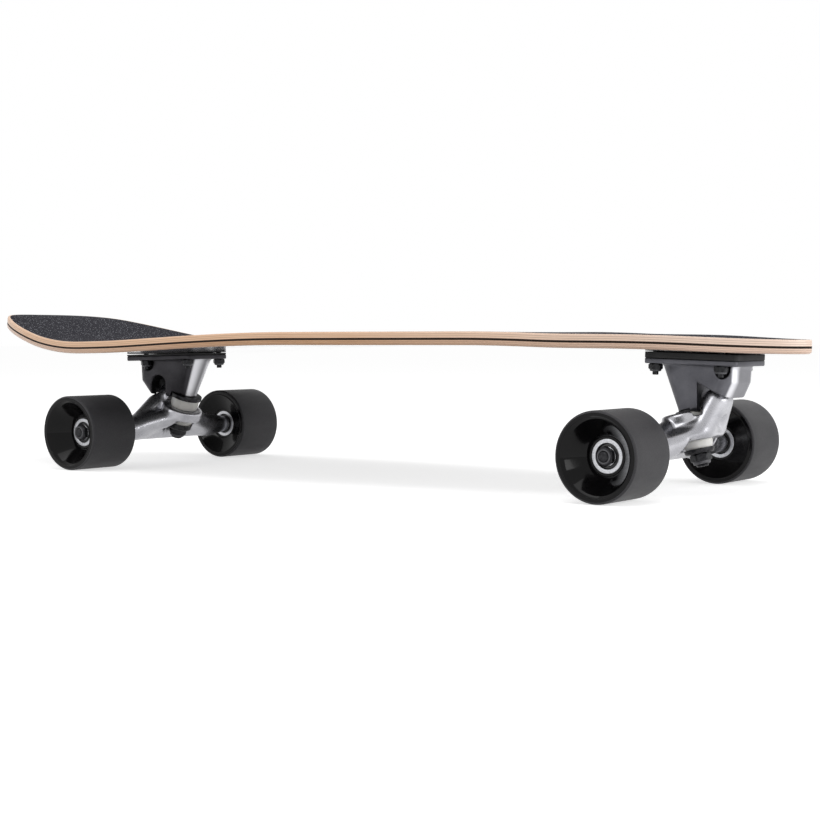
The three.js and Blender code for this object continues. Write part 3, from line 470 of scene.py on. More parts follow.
class Truck:
    """Places and sizes of one truck, all in its own frame in mm."""

    def __init__(self, name, side, plate_at, ring, pivot, lean, limit, washer, flange, ends):
        self.name, self.side, self.washer_radius = name, side, washer
        self.flange_top, self.flange_bottom = flange
        self.plate_inboard, self.plate_outboard = ends
        at = side * plate_at
        self.tilt = math.atan(side * slope(at))
        height = float(underside(at))
        half_turn = np.diag([side, side, 1.0, 1.0])
        self.place = shift((at + board_shift, 0, height)) @ half_turn @ turn_y(-self.tilt)
        out, up = wheelbase / 2 - plate_at, wheel_radius - height
        c, s = math.cos(self.tilt), math.sin(self.tilt)
        self.axle = np.array([out * c + up * s, 0, up * c - out * s])
        self.ring_centre = self.axle + (ring[0], 0, ring[1])
        self.pivot = self.axle + (pivot[0], 0, pivot[1])
        self.steer_axis = (self.pivot - self.ring_centre) / np.linalg.norm(self.pivot - self.ring_centre)
        self.steer_lean = math.atan2(self.steer_axis[0], self.steer_axis[2])
        self.lean = -math.radians(lean)
        self.limit = math.radians(limit)
        self.kingpin_axis = np.array([math.sin(self.lean), 0, math.cos(self.lean)])
        self.kingpin = self.place @ shift(self.ring_centre) @ turn_y(self.lean)
        self.steering = self.place @ shift(self.pivot) @ turn_y(self.steer_lean)
        self.kingpin_line = (self.ring_centre, self.kingpin_axis)
        self.steer_line = (self.pivot, self.steer_axis)

    def up_kingpin(self, level):
        return (level - self.ring_centre[2]) / math.cos(self.lean)

    def piece(self, name, node, shells, finishes, body, slot, **more):
        """make_piece, with the truck's name before those of the piece, its node and its body."""
        node = f"{self.name}_{node}" if node else None
        body = body if body in ("board", None) else f"{self.name}_{body}"
        return make_piece(f"{self.name}_{name}", shells, finishes, node, body, slot, **more)


front_truck = Truck("front", side=1, plate_at=299, ring=(17.4, 12.4), pivot=(42.9, 49.2), lean=15.5,
                    limit=20, washer=12.0, flange=(-4.6, -8.8), ends=(41.0, 35.5))
rear_truck = Truck("rear", side=-1, plate_at=255, ring=(-21.4, 14.5), pivot=(0.9, 41.4), lean=21.5,
                   limit=15, washer=14.5, flange=(-1.6, -5.8), ends=(39.5, 43.5))
trucks = (front_truck, rear_truck)


# Riser pads
# Black rubber pads between deck and baseplate, moulded, with their edges eased and holes for
# the four bolts and the two spare ones.

plate_width, plate_corner, plate_margin = 51.0, 3.0, 2.5
riser_top = -0.02
bolt_spacing, hole_radius, hole_top = 20.65, 2.7, 3.0
bolt_places = [(x, y) for x in (-33.0, 21.0) for y in (bolt_spacing, -bolt_spacing)]
spare_places = [(30.5, bolt_spacing), (30.5, -bolt_spacing)]


def eased(corners, radius, steps=4, closed=True):
    """Rounds each corner P between A and C, a radius before and after it, along
    (1-s)² A + 2s(1-s) P + s² C."""
    corners = np.asarray(corners, dtype=float)
    radii = np.full(len(corners), float(radius))
    if not closed:
        radii[[0, -1]] = 0
    s = np.linspace(0, 1, steps + 1)[:, None]
    rounded = []
    for corner, before, after, reach in zip(corners, np.roll(corners, 1, 0), np.roll(corners, -1, 0), radii):
        if reach == 0:
            rounded.append(corner[None])
            continue
        back, ahead = before - corner, after - corner
        a = corner + back * min(reach / np.linalg.norm(back), 0.5)
        c = corner + ahead * min(reach / np.linalg.norm(ahead), 0.5)
        rounded.append((1 - s) ** 2 * a + 2 * s * (1 - s) * corner + s ** 2 * c)
    return np.concatenate(rounded)


def plate_shell(truck, bottom, top, edge):
    """A plate with round corners: its outline carried up a side with eased edges, and closed
    to the middle above and below."""
    turns = np.linspace(0, np.pi / 2, 9)
    normals = np.stack([np.cos(turns), np.sin(turns)], -1)
    rim, away = [], []
    for sign in ((1, 1), (-1, 1), (-1, -1), (1, -1)):
        reach = truck.plate_outboard if sign[0] > 0 else truck.plate_inboard
        corner = np.array([reach, plate_width / 2]) - plate_corner
        order = slice(None, None, sign[0] * sign[1])
        rim.append(((corner + plate_corner * normals) * sign)[order])
        away.append((normals * sign)[order])
    rim, away = np.concatenate(rim), np.concatenate(away)
    turns = np.linspace(0, np.pi / 2, 4)
    cosine_rest, sine_rest = 1 - np.cos(turns), 1 - np.sin(turns)
    inset = np.concatenate([[plate_margin], edge * sine_rest, edge * cosine_rest, [plate_margin]])
    level = np.pad(np.concatenate([bottom + edge * cosine_rest, top - edge * sine_rest]), 2, mode="edge")
    flat = np.pad(rim[:, None] - inset[:, None] * away[:, None], ((0, 0), (1, 1), (0, 0)))
    points = np.concatenate([flat, np.broadcast_to(level[:, None], flat.shape[:2] + (1,))], axis=2)
    faces = grid_faces(len(rim), len(level), wrap_rows=True)
    return placed(points.reshape(-1, 3), truck.place), faces, 0


def ring_angles(sides):
    return np.linspace(0, 2 * np.pi, sides, endpoint=False)[:, None]


def round_shell(radius, height, angle, place, number=0, closed=False):
    """Points (r cos a, r sin a, h), with a row for each angle; closed joins each row's ends."""
    points = np.stack([radius * np.cos(angle), radius * np.sin(angle), height + 0 * angle], -1)
    faces = grid_faces(len(angle), points.shape[1], wrap_rows=True, wrap_columns=closed)
    return placed(points.reshape(-1, 3), place), faces, number


def turned(profile, sides, place, number=0, closed=True, spin=0.0):
    """Profile of (radius, height) pairs carried round an axis."""
    radius, height = np.asarray(profile, dtype=float).T
    return round_shell(radius, height, ring_angles(sides) + spin, place, number, closed)


def rod(radius, low, high, sides, place):
    """A closed round bar from one height to another."""
    return turned([(0, low), (radius, low), (radius, high), (0, high)], sides, place, closed=False)


def drill(piece, holes):
    """Cuts holes, given as closed shells, out of a piece, and keeps only the cut mesh."""
    tool = make_piece("drill", holes, [], None, None, None)
    modifier = piece.modifiers.new("holes", "BOOLEAN")
    modifier.operation = "DIFFERENCE"
    modifier.solver = "EXACT"
    modifier.object = tool
    cut_mesh = bpy.data.meshes.new_from_object(piece.evaluated_get(bpy.context.evaluated_depsgraph_get()))
    piece.modifiers.clear()
    piece.data = cut_mesh
    cut_mesh.set_sharp_from_angle(angle=math.radians(sharp_angle))
    bpy.data.objects.remove(tool)


def drill_bolt_holes(truck, piece, low):
    """Straight round holes at the bolts and the spare places."""
    drill(piece, [rod(hole_radius, low, hole_top, 24, truck.place @ shift((x, y, 0)))
                  for x, y in bolt_places + spare_places])


rubber = grained("riser_rubber", (24, 24, 25), 0.7, (60, 3.0), ((18, 18, 19), (34, 34, 35)), (0.6, 0.8))
feed(rubber, "Normal", relief(rubber, grain(rubber, 900, 3.0), 0.00012, 0.5))

for truck in trucks:
    pad = truck.piece("riser", "riser_pad", [plate_shell(truck, truck.flange_top + 0.02, riser_top, 0.4)],
                      [rubber], "board", "riser_rubber")
    drill_bolt_holes(truck, pad, -12)


# Baseplates
# Gravity-cast aluminium with a dark dip finish and a painted highlight of bright metal where the
# sides turn to the nose: a flange, the boss round the kingpin and the tower that holds the pivot
# cup, with the arch between them. All its edges are cast round.

piece_gap = 0.3
boss_root_radius = {"front": 14.0, "rear": 14.5}
boss_end_radius = 9.6
tower_half_width = 19.5
front_corner, front_foot, front_knee, front_reaches = 11.0, -35.0, -21.0, (24.4, 30.4, 31.0)
rear_corner, rear_foot, rear_knee, rear_reaches = 9.0, -36.9, -24.3, (23.0, 34.0, 34.5)
# Middles of the painted highlight's band round the front tower's corner, at its foot and knee.
painted_highlight_middles = (13.4, 19.6)
ring_face = 4.75
upper_bushing_height, lower_bushing_height, washer_thickness = 10.95, 8.95, 1.6
upper_bushing_top = ring_face + piece_gap + upper_bushing_height
upper_washer_top = upper_bushing_top + piece_gap + washer_thickness
boss_face = upper_washer_top + piece_gap
swing_clearance = 0.8
nut_room_radius, nut_room_depth = 6.4, 9.5
kingpin_bore, neck_hollow, cup_bore, spare_hole = 5.3, 12.5, 7.9, 3.2


def blend_in(first, second, reach):
    """The nearer of two fields, with a fillet: min(a, b) - max(k - |a - b|, 0)² / 4k."""
    return np.minimum(first, second) - np.maximum(reach - np.abs(first - second), 0) ** 2 / (4 * reach)


def carve(first, tool, reach=0.6):
    """A field with a tool taken out of it, and the edge eased over the reach."""
    return -blend_in(-first, tool, reach)


def common(first, second, reach=0.6):
    """Where both fields are solid, with the edge eased over the reach."""
    return -blend_in(-first, -second, reach)


def bar_field(p, first, first_radius, second, second_radius):
    """Distance to a bar between two balls: |p - nearest point of its line| - radius there. The
    ends and radii may change from point to point."""
    first, second = np.asarray(first, dtype=float), np.asarray(second, dtype=float)
    line = second - first
    t = np.clip(((p - first) * line).sum(-1) / ((line ** 2).sum(-1) + 1e-6), 0, 1)
    off = p - first - t[..., None] * line
    return np.sqrt((off ** 2).sum(-1)) - (first_radius + t * (second_radius - first_radius))


def axis_parts(p, origin, axis):
    """Height of each point along an axis and its distance from it."""
    off = p - origin
    height = off @ np.asarray(axis, dtype=float)
    return height, np.sqrt(np.maximum((off ** 2).sum(-1) - height ** 2, 0))


def rod_field(p, origin, axis, radius, low, high, ease=0.6):
    height, away = axis_parts(p, origin, axis)
    return common(away - radius, np.maximum(low - height, height - high), ease)


def boss_middle(truck, level):
    """X of the kingpin's axis at a level of the truck's frame."""
    return truck.ring_centre[0] + math.tan(truck.lean) * (level - truck.ring_centre[2])


def pedestal_field(truck, p, growth=0.0):
    """Boss and tower as one tapering block: at each level the plan is drawn tight round the
    boss's circle and the tower's two corner circles, which close in on the boss below the foot."""
    x, y, z = p[..., 0], np.abs(p[..., 1]), p[..., 2]
    root = truck.flange_bottom + 2.1
    if truck is front_truck:
        corner, foot, knee, reaches = front_corner, front_foot, front_knee, front_reaches
    else:
        corner, foot, knee, reaches = rear_corner, rear_foot, rear_knee, rear_reaches
    foot -= growth
    boss_end = truck.ring_centre + (boss_face - growth) * truck.kingpin_axis
    end_radius = boss_end_radius + growth
    lowest = boss_end[2] - end_radius * math.sin(-truck.lean)
    tower_x = np.interp(z, [lowest, foot, knee, root], [boss_end[0], *(np.array(reaches) - corner)])
    tower_y = np.interp(z, [lowest, foot], [0.0, tower_half_width - corner])
    tower_radius = np.interp(z, [lowest, foot], [end_radius, corner + growth])
    boss_share = np.clip((root - z) / (root - boss_end[2]), 0, 1)
    boss_x = boss_middle(truck, z)
    root_radius = boss_root_radius[truck.name] + growth
    boss_radius = root_radius + (end_radius - root_radius) * boss_share
    flat = np.stack([x, y], -1)
    boss, tower = np.stack([boss_x, 0 * x], -1), np.stack([tower_x, tower_y], -1)
    side = bar_field(flat, boss, boss_radius, tower, tower_radius)
    end = bar_field(flat, tower, tower_radius, tower * (1, -1), tower_radius)
    reach = tower_x - boss_x
    slant = (reach * y - tower_y * (x - boss_x)) / (np.hypot(reach, tower_y) + 1e-6)
    middle = np.maximum(slant, np.abs(x - boss_x) - reach)
    return np.maximum(np.minimum(np.minimum(side, end), middle), lowest - z)


def arch_field(truck, p, inset=0.0):
    """Room under the block for the hanger's neck: a slanted roof in front, a slot behind."""
    x, z = p[..., 0], p[..., 2]
    if truck is rear_truck:
        middle, radius, spring = 10.5, 7.5 - inset, -27.4
        return np.hypot(x - middle, np.maximum(z - spring, 0)) - radius
    c, s = math.cos(truck.lean), math.sin(truck.lean)
    edge = truck.ring_centre + np.array([c * boss_end_radius + s * boss_face, 0,
                                         -s * boss_end_radius + c * boss_face])
    corners = np.array([(edge[0] + 2.4 + inset, edge[2]), (-1 + inset, -21.6 - inset), (45, -41 - inset)])
    field = corners[0, 0] - x
    for first, second in zip(corners[:-1], corners[1:]):
        along = (second - first) / np.linalg.norm(second - first)
        field = np.maximum(field, (z - first[1]) * along[0] - (x - first[0]) * along[1])
    return field


def cast_surface(field, low, high, step):
    """The skin where a field is 0. Every cell that the skin passes through gets one point, the
    mean of its edge crossings, and every crossed grid line joins the four cells round it.
    Then each point moves on to the skin along the slope: p - f g / |g|²."""
    axes = [np.arange(a, b + step, step) for a, b in zip(low, high)]
    value = field(np.stack(np.meshgrid(*axes, indexing="ij"), -1))
    cells = tuple(n - 1 for n in value.shape)
    total, count = np.zeros(cells + (3,)), np.zeros(cells)
    crossings, other_axes = [], ([1, 2], [0, 2], [0, 1])
    for axis, others in enumerate(other_axes):
        first, second = (np.take(value, np.arange(cells[axis]) + end, axis) for end in (0, 1))
        crossed = (first < 0) != (second < 0)
        crossings.append((crossed, first < 0))
        at = np.argwhere(crossed)
        place = at.astype(float)
        place[:, axis] += first[crossed] / (first[crossed] - second[crossed])
        for steps in ((0, 0), (0, 1), (1, 0), (1, 1)):
            cell = at.copy()
            cell[:, others] -= steps
            kept = ((cell >= 0) & (cell < cells)).all(1)
            index = tuple(cell[kept].T)
            np.add.at(count, index, 1)
            np.add.at(total, index, place[kept])
    used = count > 0
    number = np.full(cells, -1)
    number[used] = np.arange(used.sum())
    points = np.array(low) + step * total[used] / count[used][:, None]
    faces = []
    for axis, (crossed, inside) in enumerate(crossings):
        at, others = np.argwhere(crossed), other_axes[axis]
        kept = (at[:, others] > 0).all(1) & (at[:, others] < np.array(cells)[others]).all(1)
        at = at[kept]
        ring = []
        for steps in ((0, 0), (1, 0), (1, 1), (0, 1)):
            cell = at.copy()
            cell[:, others] -= steps
            ring.append(number[tuple(cell.T)])
        quad = np.stack(ring, -1)
        flip = inside[tuple(at.T)] == (axis == 1)
        quad[flip] = quad[flip][:, ::-1]
        faces.append(quad)
    nudge = 0.05
    for _ in range(3):
        here = field(points)
        slopes = np.stack([(field(points + nudge * unit) - here) / nudge for unit in np.eye(3)], -1)
        steepness = np.maximum((slopes ** 2).sum(-1), 0.25)
        points = points - np.clip(here / steepness, -step / 2, step / 2)[:, None] * slopes
    return points, np.concatenate(faces)


def cast_metal(name, light, dark, rough_low, rough_high, pits, painted_highlight=None):
    """Cast aluminium: slow clouds of tone, a fine sand skin and a few pits. Where the piece's own U
    is 1, a painted highlight of bright metal is laid over the tone."""
    finish = new_finish(name, light, (rough_low + rough_high) / 2, 1.0)
    clouds = grain(finish, 55, 5.0)
    sand = grain(finish, 1300, 2.0)
    colour = tint(finish, spread(finish, clouds, 0, 1), light, dark)
    if painted_highlight:
        share = add_node(finish, "SeparateXYZ", {0: own_place(finish, "UV")}).outputs[0]
        colour = tint(finish, share, colour, painted_highlight)
    feed(finish, "Base Color", colour)
    feed(finish, "Roughness", spread(finish, sand, rough_low, rough_high))
    skin = relief(finish, sand, 0.00006, pits)
    feed(finish, "Normal", relief(finish, clouds, 0.0003, 0.12, skin))
    return finish


# The rear copy is darker than the front one as painted shade; the last colour of each is its painted
# highlight.
gunmetal = {
    "front": cast_metal("gunmetal_casting", (100, 100, 105), (82, 82, 87), 0.4, 0.52, 0.6, (212, 212, 216)),
    "rear": cast_metal("gunmetal_casting_painted_shade", (68, 67, 70), (52, 51, 54), 0.38, 0.5, 0.6, (228, 228, 232)),
}


def baseplate_field(truck, p):
    """Block of boss and tower run into the flange with a fillet, less the arch, the bores and
    the rooms for the nuts, the washer and the hanger's neck."""
    x, y, z = p[..., 0], p[..., 1], p[..., 2]
    bottom = truck.flange_bottom
    beyond = np.maximum(x - truck.plate_outboard, -truck.plate_inboard - x)
    slab = np.maximum(bottom + 0.15 - z, np.maximum(beyond, np.abs(y) - plate_width / 2) + plate_margin)
    solid = blend_in(pedestal_field(truck, p), slab, 3.0)
    solid = carve(solid, arch_field(truck, p), 1.2)
    washer_room = truck.washer_radius + swing_clearance
    rooms = [(truck.kingpin_line, washer_room, -25, boss_face, 0.8),
             (truck.kingpin_line, kingpin_bore, 0, 80, 0.6),
             (truck.steer_line, neck_hollow, -18, -4, 1.0), (truck.steer_line, cup_bore, -8, 7.7, 0.6)]
    for line, radius, low, high, ease in rooms:
        solid = carve(solid, rod_field(p, *line, radius, low, high), ease)
    ball_level = bottom - nut_room_depth + nut_room_radius
    for place in bolt_places:
        room = bar_field(p, (*place, bottom), nut_room_radius, (*place, ball_level), nut_room_radius)
        solid = carve(solid, np.maximum(room, z - bottom + 0.1), 0.8)
    for place_x, place_y in spare_places:
        solid = np.maximum(solid, spare_hole - np.hypot(x - place_x, y - place_y))
    return np.maximum(solid, z - bottom - 1.2)


def painted_highlight_share(truck, points):
    """Share of painted highlight: most of all where the surface turns from the side to the
    nose, by its angle round the front tower's corner circle or the rear boss."""
    if truck is front_truck:
        middle_x = np.interp(points[:, 2], [front_foot, front_knee], painted_highlight_middles)
        middle_y = tower_half_width - front_corner
    else:
        middle_x, middle_y = boss_middle(truck, points[:, 2]) + 1.5, 0
    turn = np.degrees(np.arctan2(truck.side * (points[:, 0] - middle_x), np.abs(points[:, 1]) - middle_y))
    return smooth((turn - 42) / 10) * (1 - 0.8 * smooth((turn - 58) / 34))


for truck in trucks:
    block, faces = cast_surface(lambda p, truck=truck: baseplate_field(truck, p),
                                (-45, -29, -48), (45, 29, -4), 0.75)
    shell = plate_shell(truck, truck.flange_bottom, truck.flange_top, 0.9)
    plate = truck.piece("baseplate_casting", "baseplate", [(*shell, np.zeros((len(shell[0]), 2)))],
                        [gunmetal[truck.name]], "board", "gunmetal_cast")
    drill_bolt_holes(truck, plate, -14)
    # U carries the share of painted highlight on the pedestal.
    painted_highlight = painted_highlight_share(truck, block)
    truck.piece("pedestal_casting", "baseplate",
                [(placed(block, truck.place), faces, 0, np.stack([painted_highlight, 0 * painted_highlight], -1))],
                [gunmetal[truck.name]], "board", "gunmetal_cast", sharp=60, weld=False)


# Hangers
# Cast and tumbled aluminium. Each carries its axle in a housing, has a ring round the kingpin
# between the bushings, and ends in a neck whose pin turns in the pivot cup.

silver = cast_metal("silver_casting", (192, 192, 196), (160, 160, 165), 0.24, 0.36, 0.4)
housing_radius = {"front": 8.7, "rear": 10.2}
housing_end_radius, housing_end_at, housing_taper_at = 7.5, 77.5, 57.0
ring_radius, ring_hole_radius, axle_bore = 18.5, 7.8, 4.3
bushing_room, bushing_room_depth = 13.1, 11.15
washer_rim = {"front": 0.0, "rear": 1.5}
cup_depth = {"front": 1.9, "rear": 3.9}
lower_bushing_foot = -(ring_face + piece_gap + lower_bushing_height)
lower_washer_top = lower_bushing_foot - piece_gap
lower_washer_foot = lower_washer_top - washer_thickness
nut_room, cup_room, pin_room, neck_gap = 9.06, 12.3, 5.8, 0.15


def steered(p, truck, angle):
    """Points turned about the steering axis: p cos a + (n × p) sin a + n (n · p)(1 - cos a)."""
    off = p - truck.ring_centre
    axis = truck.steer_axis
    turned_off = off * math.cos(angle) + np.cross(axis, off) * math.sin(angle)
    turned_off += axis * (off @ axis)[..., None] * (1 - math.cos(angle))
    return truck.ring_centre + turned_off


def stack_room(truck, p):
    """Room round the kingpin for boss, washers, nut and pin: a radius for each height."""
    height, away = axis_parts(p, *truck.kingpin_line)
    cup_foot = lower_washer_foot - swing_clearance
    cup_rim = lower_washer_top + cup_depth[truck.name] + swing_clearance
    washer_foot = upper_bushing_top + piece_gap - washer_rim[truck.name] - swing_clearance
    washer_head = boss_face + swing_clearance
    washer = truck.washer_radius + swing_clearance
    steps = [(-40, nut_room), (cup_foot - 0.01, nut_room), (cup_foot, cup_room), (cup_rim, cup_room),
             (cup_rim + 0.01, pin_room), (washer_foot - 0.01, pin_room), (washer_foot, washer),
             (washer_head, washer), (washer_head + 0.01, boss_end_radius + swing_clearance),
             (truck.up_kingpin(truck.flange_bottom), boss_root_radius[truck.name] + swing_clearance)]
    return away - np.interp(height, *zip(*steps))


def neck_radius(height):
    """Radius of the hanger's neck at a height over the pivot: foot, waist, pin and round end."""
    return np.interp(height, [-18, -14, -9, -6, 1, 4, 5.5], [10.5, 10, 7.5, 5.5, 5.5, 4.2, 0.5])


def swept_room(truck, p):
    """All that the hanger must clear, in the hanger's frame, from lock to lock."""
    room = np.full(p.shape[:-1], 50.0)
    for angle in np.linspace(-truck.limit, truck.limit, 7):
        q = steered(p, truck, angle)
        block = np.maximum(pedestal_field(truck, q, swing_clearance), -arch_field(truck, q, swing_clearance))
        height, away = axis_parts(q, *truck.steer_line)
        neck = np.maximum(away - neck_radius(height) - neck_gap, np.maximum(-18.5 - height, height + 4))
        pin = np.maximum(away - pin_room, np.maximum(-18 - height, height - 8.6))
        block = np.maximum(block, -np.minimum(neck, pin))
        room = np.minimum(room, np.minimum(block, stack_room(truck, q)))
    return room


def hanger_field(truck, p):
    """Housing, ring, neck and arms run together with fillets, less bores and swept rooms."""
    aside = np.abs(p[..., 1])
    q = np.stack([p[..., 0], aside, p[..., 2]], -1)
    axle, kingpin, ring_centre = truck.axle, truck.kingpin_line, truck.ring_centre
    away = np.hypot(p[..., 0] - axle[0], p[..., 2] - axle[2])
    taper = np.interp(aside, [housing_taper_at, housing_end_at],
                      [housing_radius[truck.name], housing_end_radius])
    housing = common(away - taper, aside - housing_end_at, 1.6)
    height, off = axis_parts(p, *truck.steer_line)
    neck = np.maximum(off - neck_radius(height), np.maximum(-18 - height, height - 5.5))
    ring = rod_field(p, *kingpin, ring_radius, -ring_face, ring_face, 2.4)

    def arm_field(first, first_radius, second, second_radius):
        return bar_field(q, axle + first, first_radius, axle + second, second_radius)

    if truck is front_truck:
        foot = truck.pivot - 13.5 * truck.steer_axis + (0, 3, 0) - axle
        knee = ring_centre + (8, 12, 0) - axle
        band = blend_in(arm_field((0, 32, 0), 9.2, knee, 9.0), arm_field(knee, 9.0, foot, 9.5), 4.0)
        arms = blend_in(band, arm_field((0, 50, 2), 8, (3, 8, 17.5), 8), 2.5)
        below = rod_field(p, *kingpin, 23, -30, -ring_face - 0.2, 1.0)
        seat = rod_field(p, ring_centre + (-3.5, 0, 0), kingpin[1], 20.5, -ring_face, ring_face + 11, 3.0)
        arms = blend_in(carve(arms, below, 4.0), seat, 3.0)
    else:
        foot = truck.pivot - 15 * truck.steer_axis + (0, 2, 0) - axle
        arm = arm_field((0, 50, 0), 8.5, (-20, 10, 11), 8.5)
        web = arm_field((0, 42, 4), 7, (-1, 6, 30), 8)
        spine = arm_field(ring_centre + (0, 2, 0) - axle, 8.7, foot, 8.7)
        arms = blend_in(blend_in(arm, web, 5.0), spine, 5.0)
    body = blend_in(blend_in(housing, arms, 6.0), ring, 5.0)
    body = blend_in(body, neck, 3.0)
    for low, high in ((ring_face, boss_face), (-ring_face - bushing_room_depth, -ring_face)):
        body = carve(body, rod_field(p, *kingpin, bushing_room, low, high, 0.3), 0.8)
    body = carve(body, rod_field(p, *kingpin, ring_hole_radius, -12, 12), 1.0)
    body = carve(body, rod_field(p, axle, (0, 1, 0), axle_bore, -90, 90), 0.4)
    return carve(body, swept_room(truck, p), 1.0)


for truck in trucks:
    low = truck.axle + (-43 if truck is rear_truck else -12, -79, -13)
    high = truck.axle + (14 if truck is rear_truck else 52, 79, 58)
    skin, faces = cast_surface(lambda p, truck=truck: hanger_field(truck, p), low, high, 0.9)
    truck.piece("hanger_casting", "hanger", [(placed(skin, truck.place), faces, 0)], [silver],
                "hanger_set", "silver_cast", sharp=60, weld=False)


# Pivot cups
# Moulded rubber cups pressed into the tower, which hold the pin of the hanger's neck.

cup_rubber = grained("cup_rubber", (32, 32, 34), 0.6, (700, 3.0), ((24, 24, 26), (42, 42, 44)),
                     skin=(0.0001, 0.5))
cup_profile = [(0, 7.4), (7.6, 7.4), (7.6, -4), (5.8, -4), (5.8, 1.3), (4.5, 4.3), (0, 5.8)]

for truck in trucks:
    cup = turned(eased(cup_profile, 0.5, closed=False), 40, truck.steering, closed=False)
    truck.piece("cup", "pivot_cup", [cup], [cup_rubber], "board", "cup_rubber")


# Bolts and lock nuts through the deck
# Eight black steel machine screws with countersunk socket heads, flush in the grip, each with a
# lock nut under the flange whose nylon collar grips the last turns of the thread.

black_steel = grained("black_steel", (40, 40, 42), 0.34, (500, 4.0), ((30, 30, 32), (56, 56, 58)),
                      (0.28, 0.44), (0.00004, 0.4), 0.9)
nylon = grained("nylon_collar", (70, 70, 74), 0.45, (400, 3.0), ((60, 60, 64), (86, 86, 90)),
                (0.38, 0.52), Subsurface_Weight=0.1, Subsurface_Radius=(0.001,) * 3)
head_radius = 4.6
thread_radius, thread_length, thread_pitch, bolt_tail = 2.4, 9.2, 0.8, 8.4
deck_nut_height, deck_hex_height = 5.8, 4.4


def hex_radius(across, angle):
    """Radius of a hexagon: (across / 2) / cos of the angle folded to ±30°."""
    folded = (angle + np.pi / 6) % (np.pi / 3) - np.pi / 6
    return across / 2 / np.cos(folded)


def hex_shell(across, low, high, hole, place, chamfer=0.9):
    """Nut: a hexagon whose corners are turned off by a cone at each end, with a round hole."""
    angle = ring_angles(72)
    cone = np.linspace(across / 2 - 0.3, across / math.sqrt(3) + 0.05, 5)
    rise = np.linspace(0, chamfer, 5)
    limit = np.concatenate([[hole, hole + 0.5], cone, cone[::-1], [hole + 0.5, hole]])
    height = np.concatenate([[low + 0.5, low], low + rise, high - rise[::-1], [high, high - 0.5]])
    return round_shell(np.minimum(limit, hex_radius(across, angle)), height, angle, place, closed=True)


def thread_shell(radius, low, high, pitch, place, number=0, sides=24):
    """Threaded rod: r - 0.54 pitch |2 frac(h / pitch - a / 2π) - 1|, closed at both ends."""
    angle = ring_angles(sides)
    height = np.linspace(low, high, max(int((high - low) / pitch * 6), 6))
    wave = np.abs(2 * ((height / pitch - angle / (2 * np.pi)) % 1) - 1)
    ease = np.clip(np.minimum(height - low, high - height) / (0.5 * pitch), 0, 1)
    crest = radius - 0.54 * pitch * wave - (1 - ease) * 0.1 * radius
    return round_shell(np.pad(crest, ((0, 0), (1, 1))), np.pad(height, 1, mode="edge"), angle, place, number)


def socket_head(top, place):
    """Countersunk head on its shank, with a hexagonal socket sunk in its top face."""
    angle = ring_angles(48)
    outer = np.array([head_radius - 0.15, head_radius, head_radius - 0.05, 2.4, 2.4, 0.0])
    radius = np.concatenate([hex_radius(3.0, angle) * (0.0, 1.0, 1.0, 1.12), outer + 0 * angle], axis=1)
    height = top - np.array([1.9, 1.7, 0.15, 0, 0, 0.12, 0.35, 2.7, 6, 6])
    return round_shell(radius, height, angle, place)


def lock_nut(place, across, low, high, bore, chamfer, collar_end, collar, ease, sides):
    """A hexagon of steel and, beyond one of its faces, the nylon collar: its radii and their
    heights from its free end, closed along the bore."""
    radii, heights = np.array(collar).T
    ring = np.stack([[bore, *radii, bore], collar_end + np.array([0, *heights, heights[-1]])], -1)
    return [hex_shell(across, low, high, bore, place, chamfer), turned(eased(ring, ease), sides, place, 1)]


sunk_holes = []
for truck in trucks:
    nut_top = truck.flange_bottom - 0.05
    nut_foot = nut_top - deck_nut_height
    bolt_foot = truck.flange_bottom - bolt_tail
    for number, (x, y) in enumerate(bolt_places, 1):
        place = truck.place @ shift((x, y, 0))
        base, upright = place[:3, 3], place[:3, 2]
        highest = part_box(f"{truck.name}_deck_bolt_{number}")[1][2] * 1000
        top = (highest - base[2] - head_radius * math.hypot(upright[0], upright[1])) / upright[2]
        thread = thread_shell(thread_radius, bolt_foot, bolt_foot + thread_length, thread_pitch, place)
        bolt = [socket_head(top, place), rod(2.3, bolt_foot + 0.2, top - 5, 24, place), thread]
        truck.piece(f"bolt_{number}", f"deck_bolt_{number}", bolt, [black_steel], "board", "black_steel")
        nut = lock_nut(place, 9.5, nut_top - deck_hex_height, nut_top, 2.5, 0.7, nut_foot,
                       [(3.6, 0), (4.3, 0.5), (4.5, 1.7)], 0.25, 48)
        truck.piece(f"lock_nut_{number}", f"deck_nut_{number}", nut, [black_steel, nylon], "board",
                    "black_steel")
        sunk = [(0, top - 12), (hole_radius, top - 12), (hole_radius, top - 3), (4.85, top - 0.25),
                (4.85, top + 6), (0, top + 6)]
        sunk_holes.append(turned(sunk, 32, place, closed=False))
drill(grip, sunk_holes)
drill(top_plies, sunk_holes)


# Kingpins, washers and nuts
# A hex bolt leans through each boss, washers and bushings; its lock nut sets the preload. The
# upper washer is flat in front and has a rim behind, the lower ones are cupped. All are steel.

kingpin_radius, kingpin_hex, kingpin_nut_height, kingpin_tail = 5.0, 14, 8.0, 1.5
kingpin_foot = lower_washer_foot - piece_gap - kingpin_nut_height - kingpin_tail
kingpin_thread_top, kingpin_pitch = -16.5, 1.25
washer_bore, pressed_ease, cupped_ease = 5.2, 0.45, 0.4

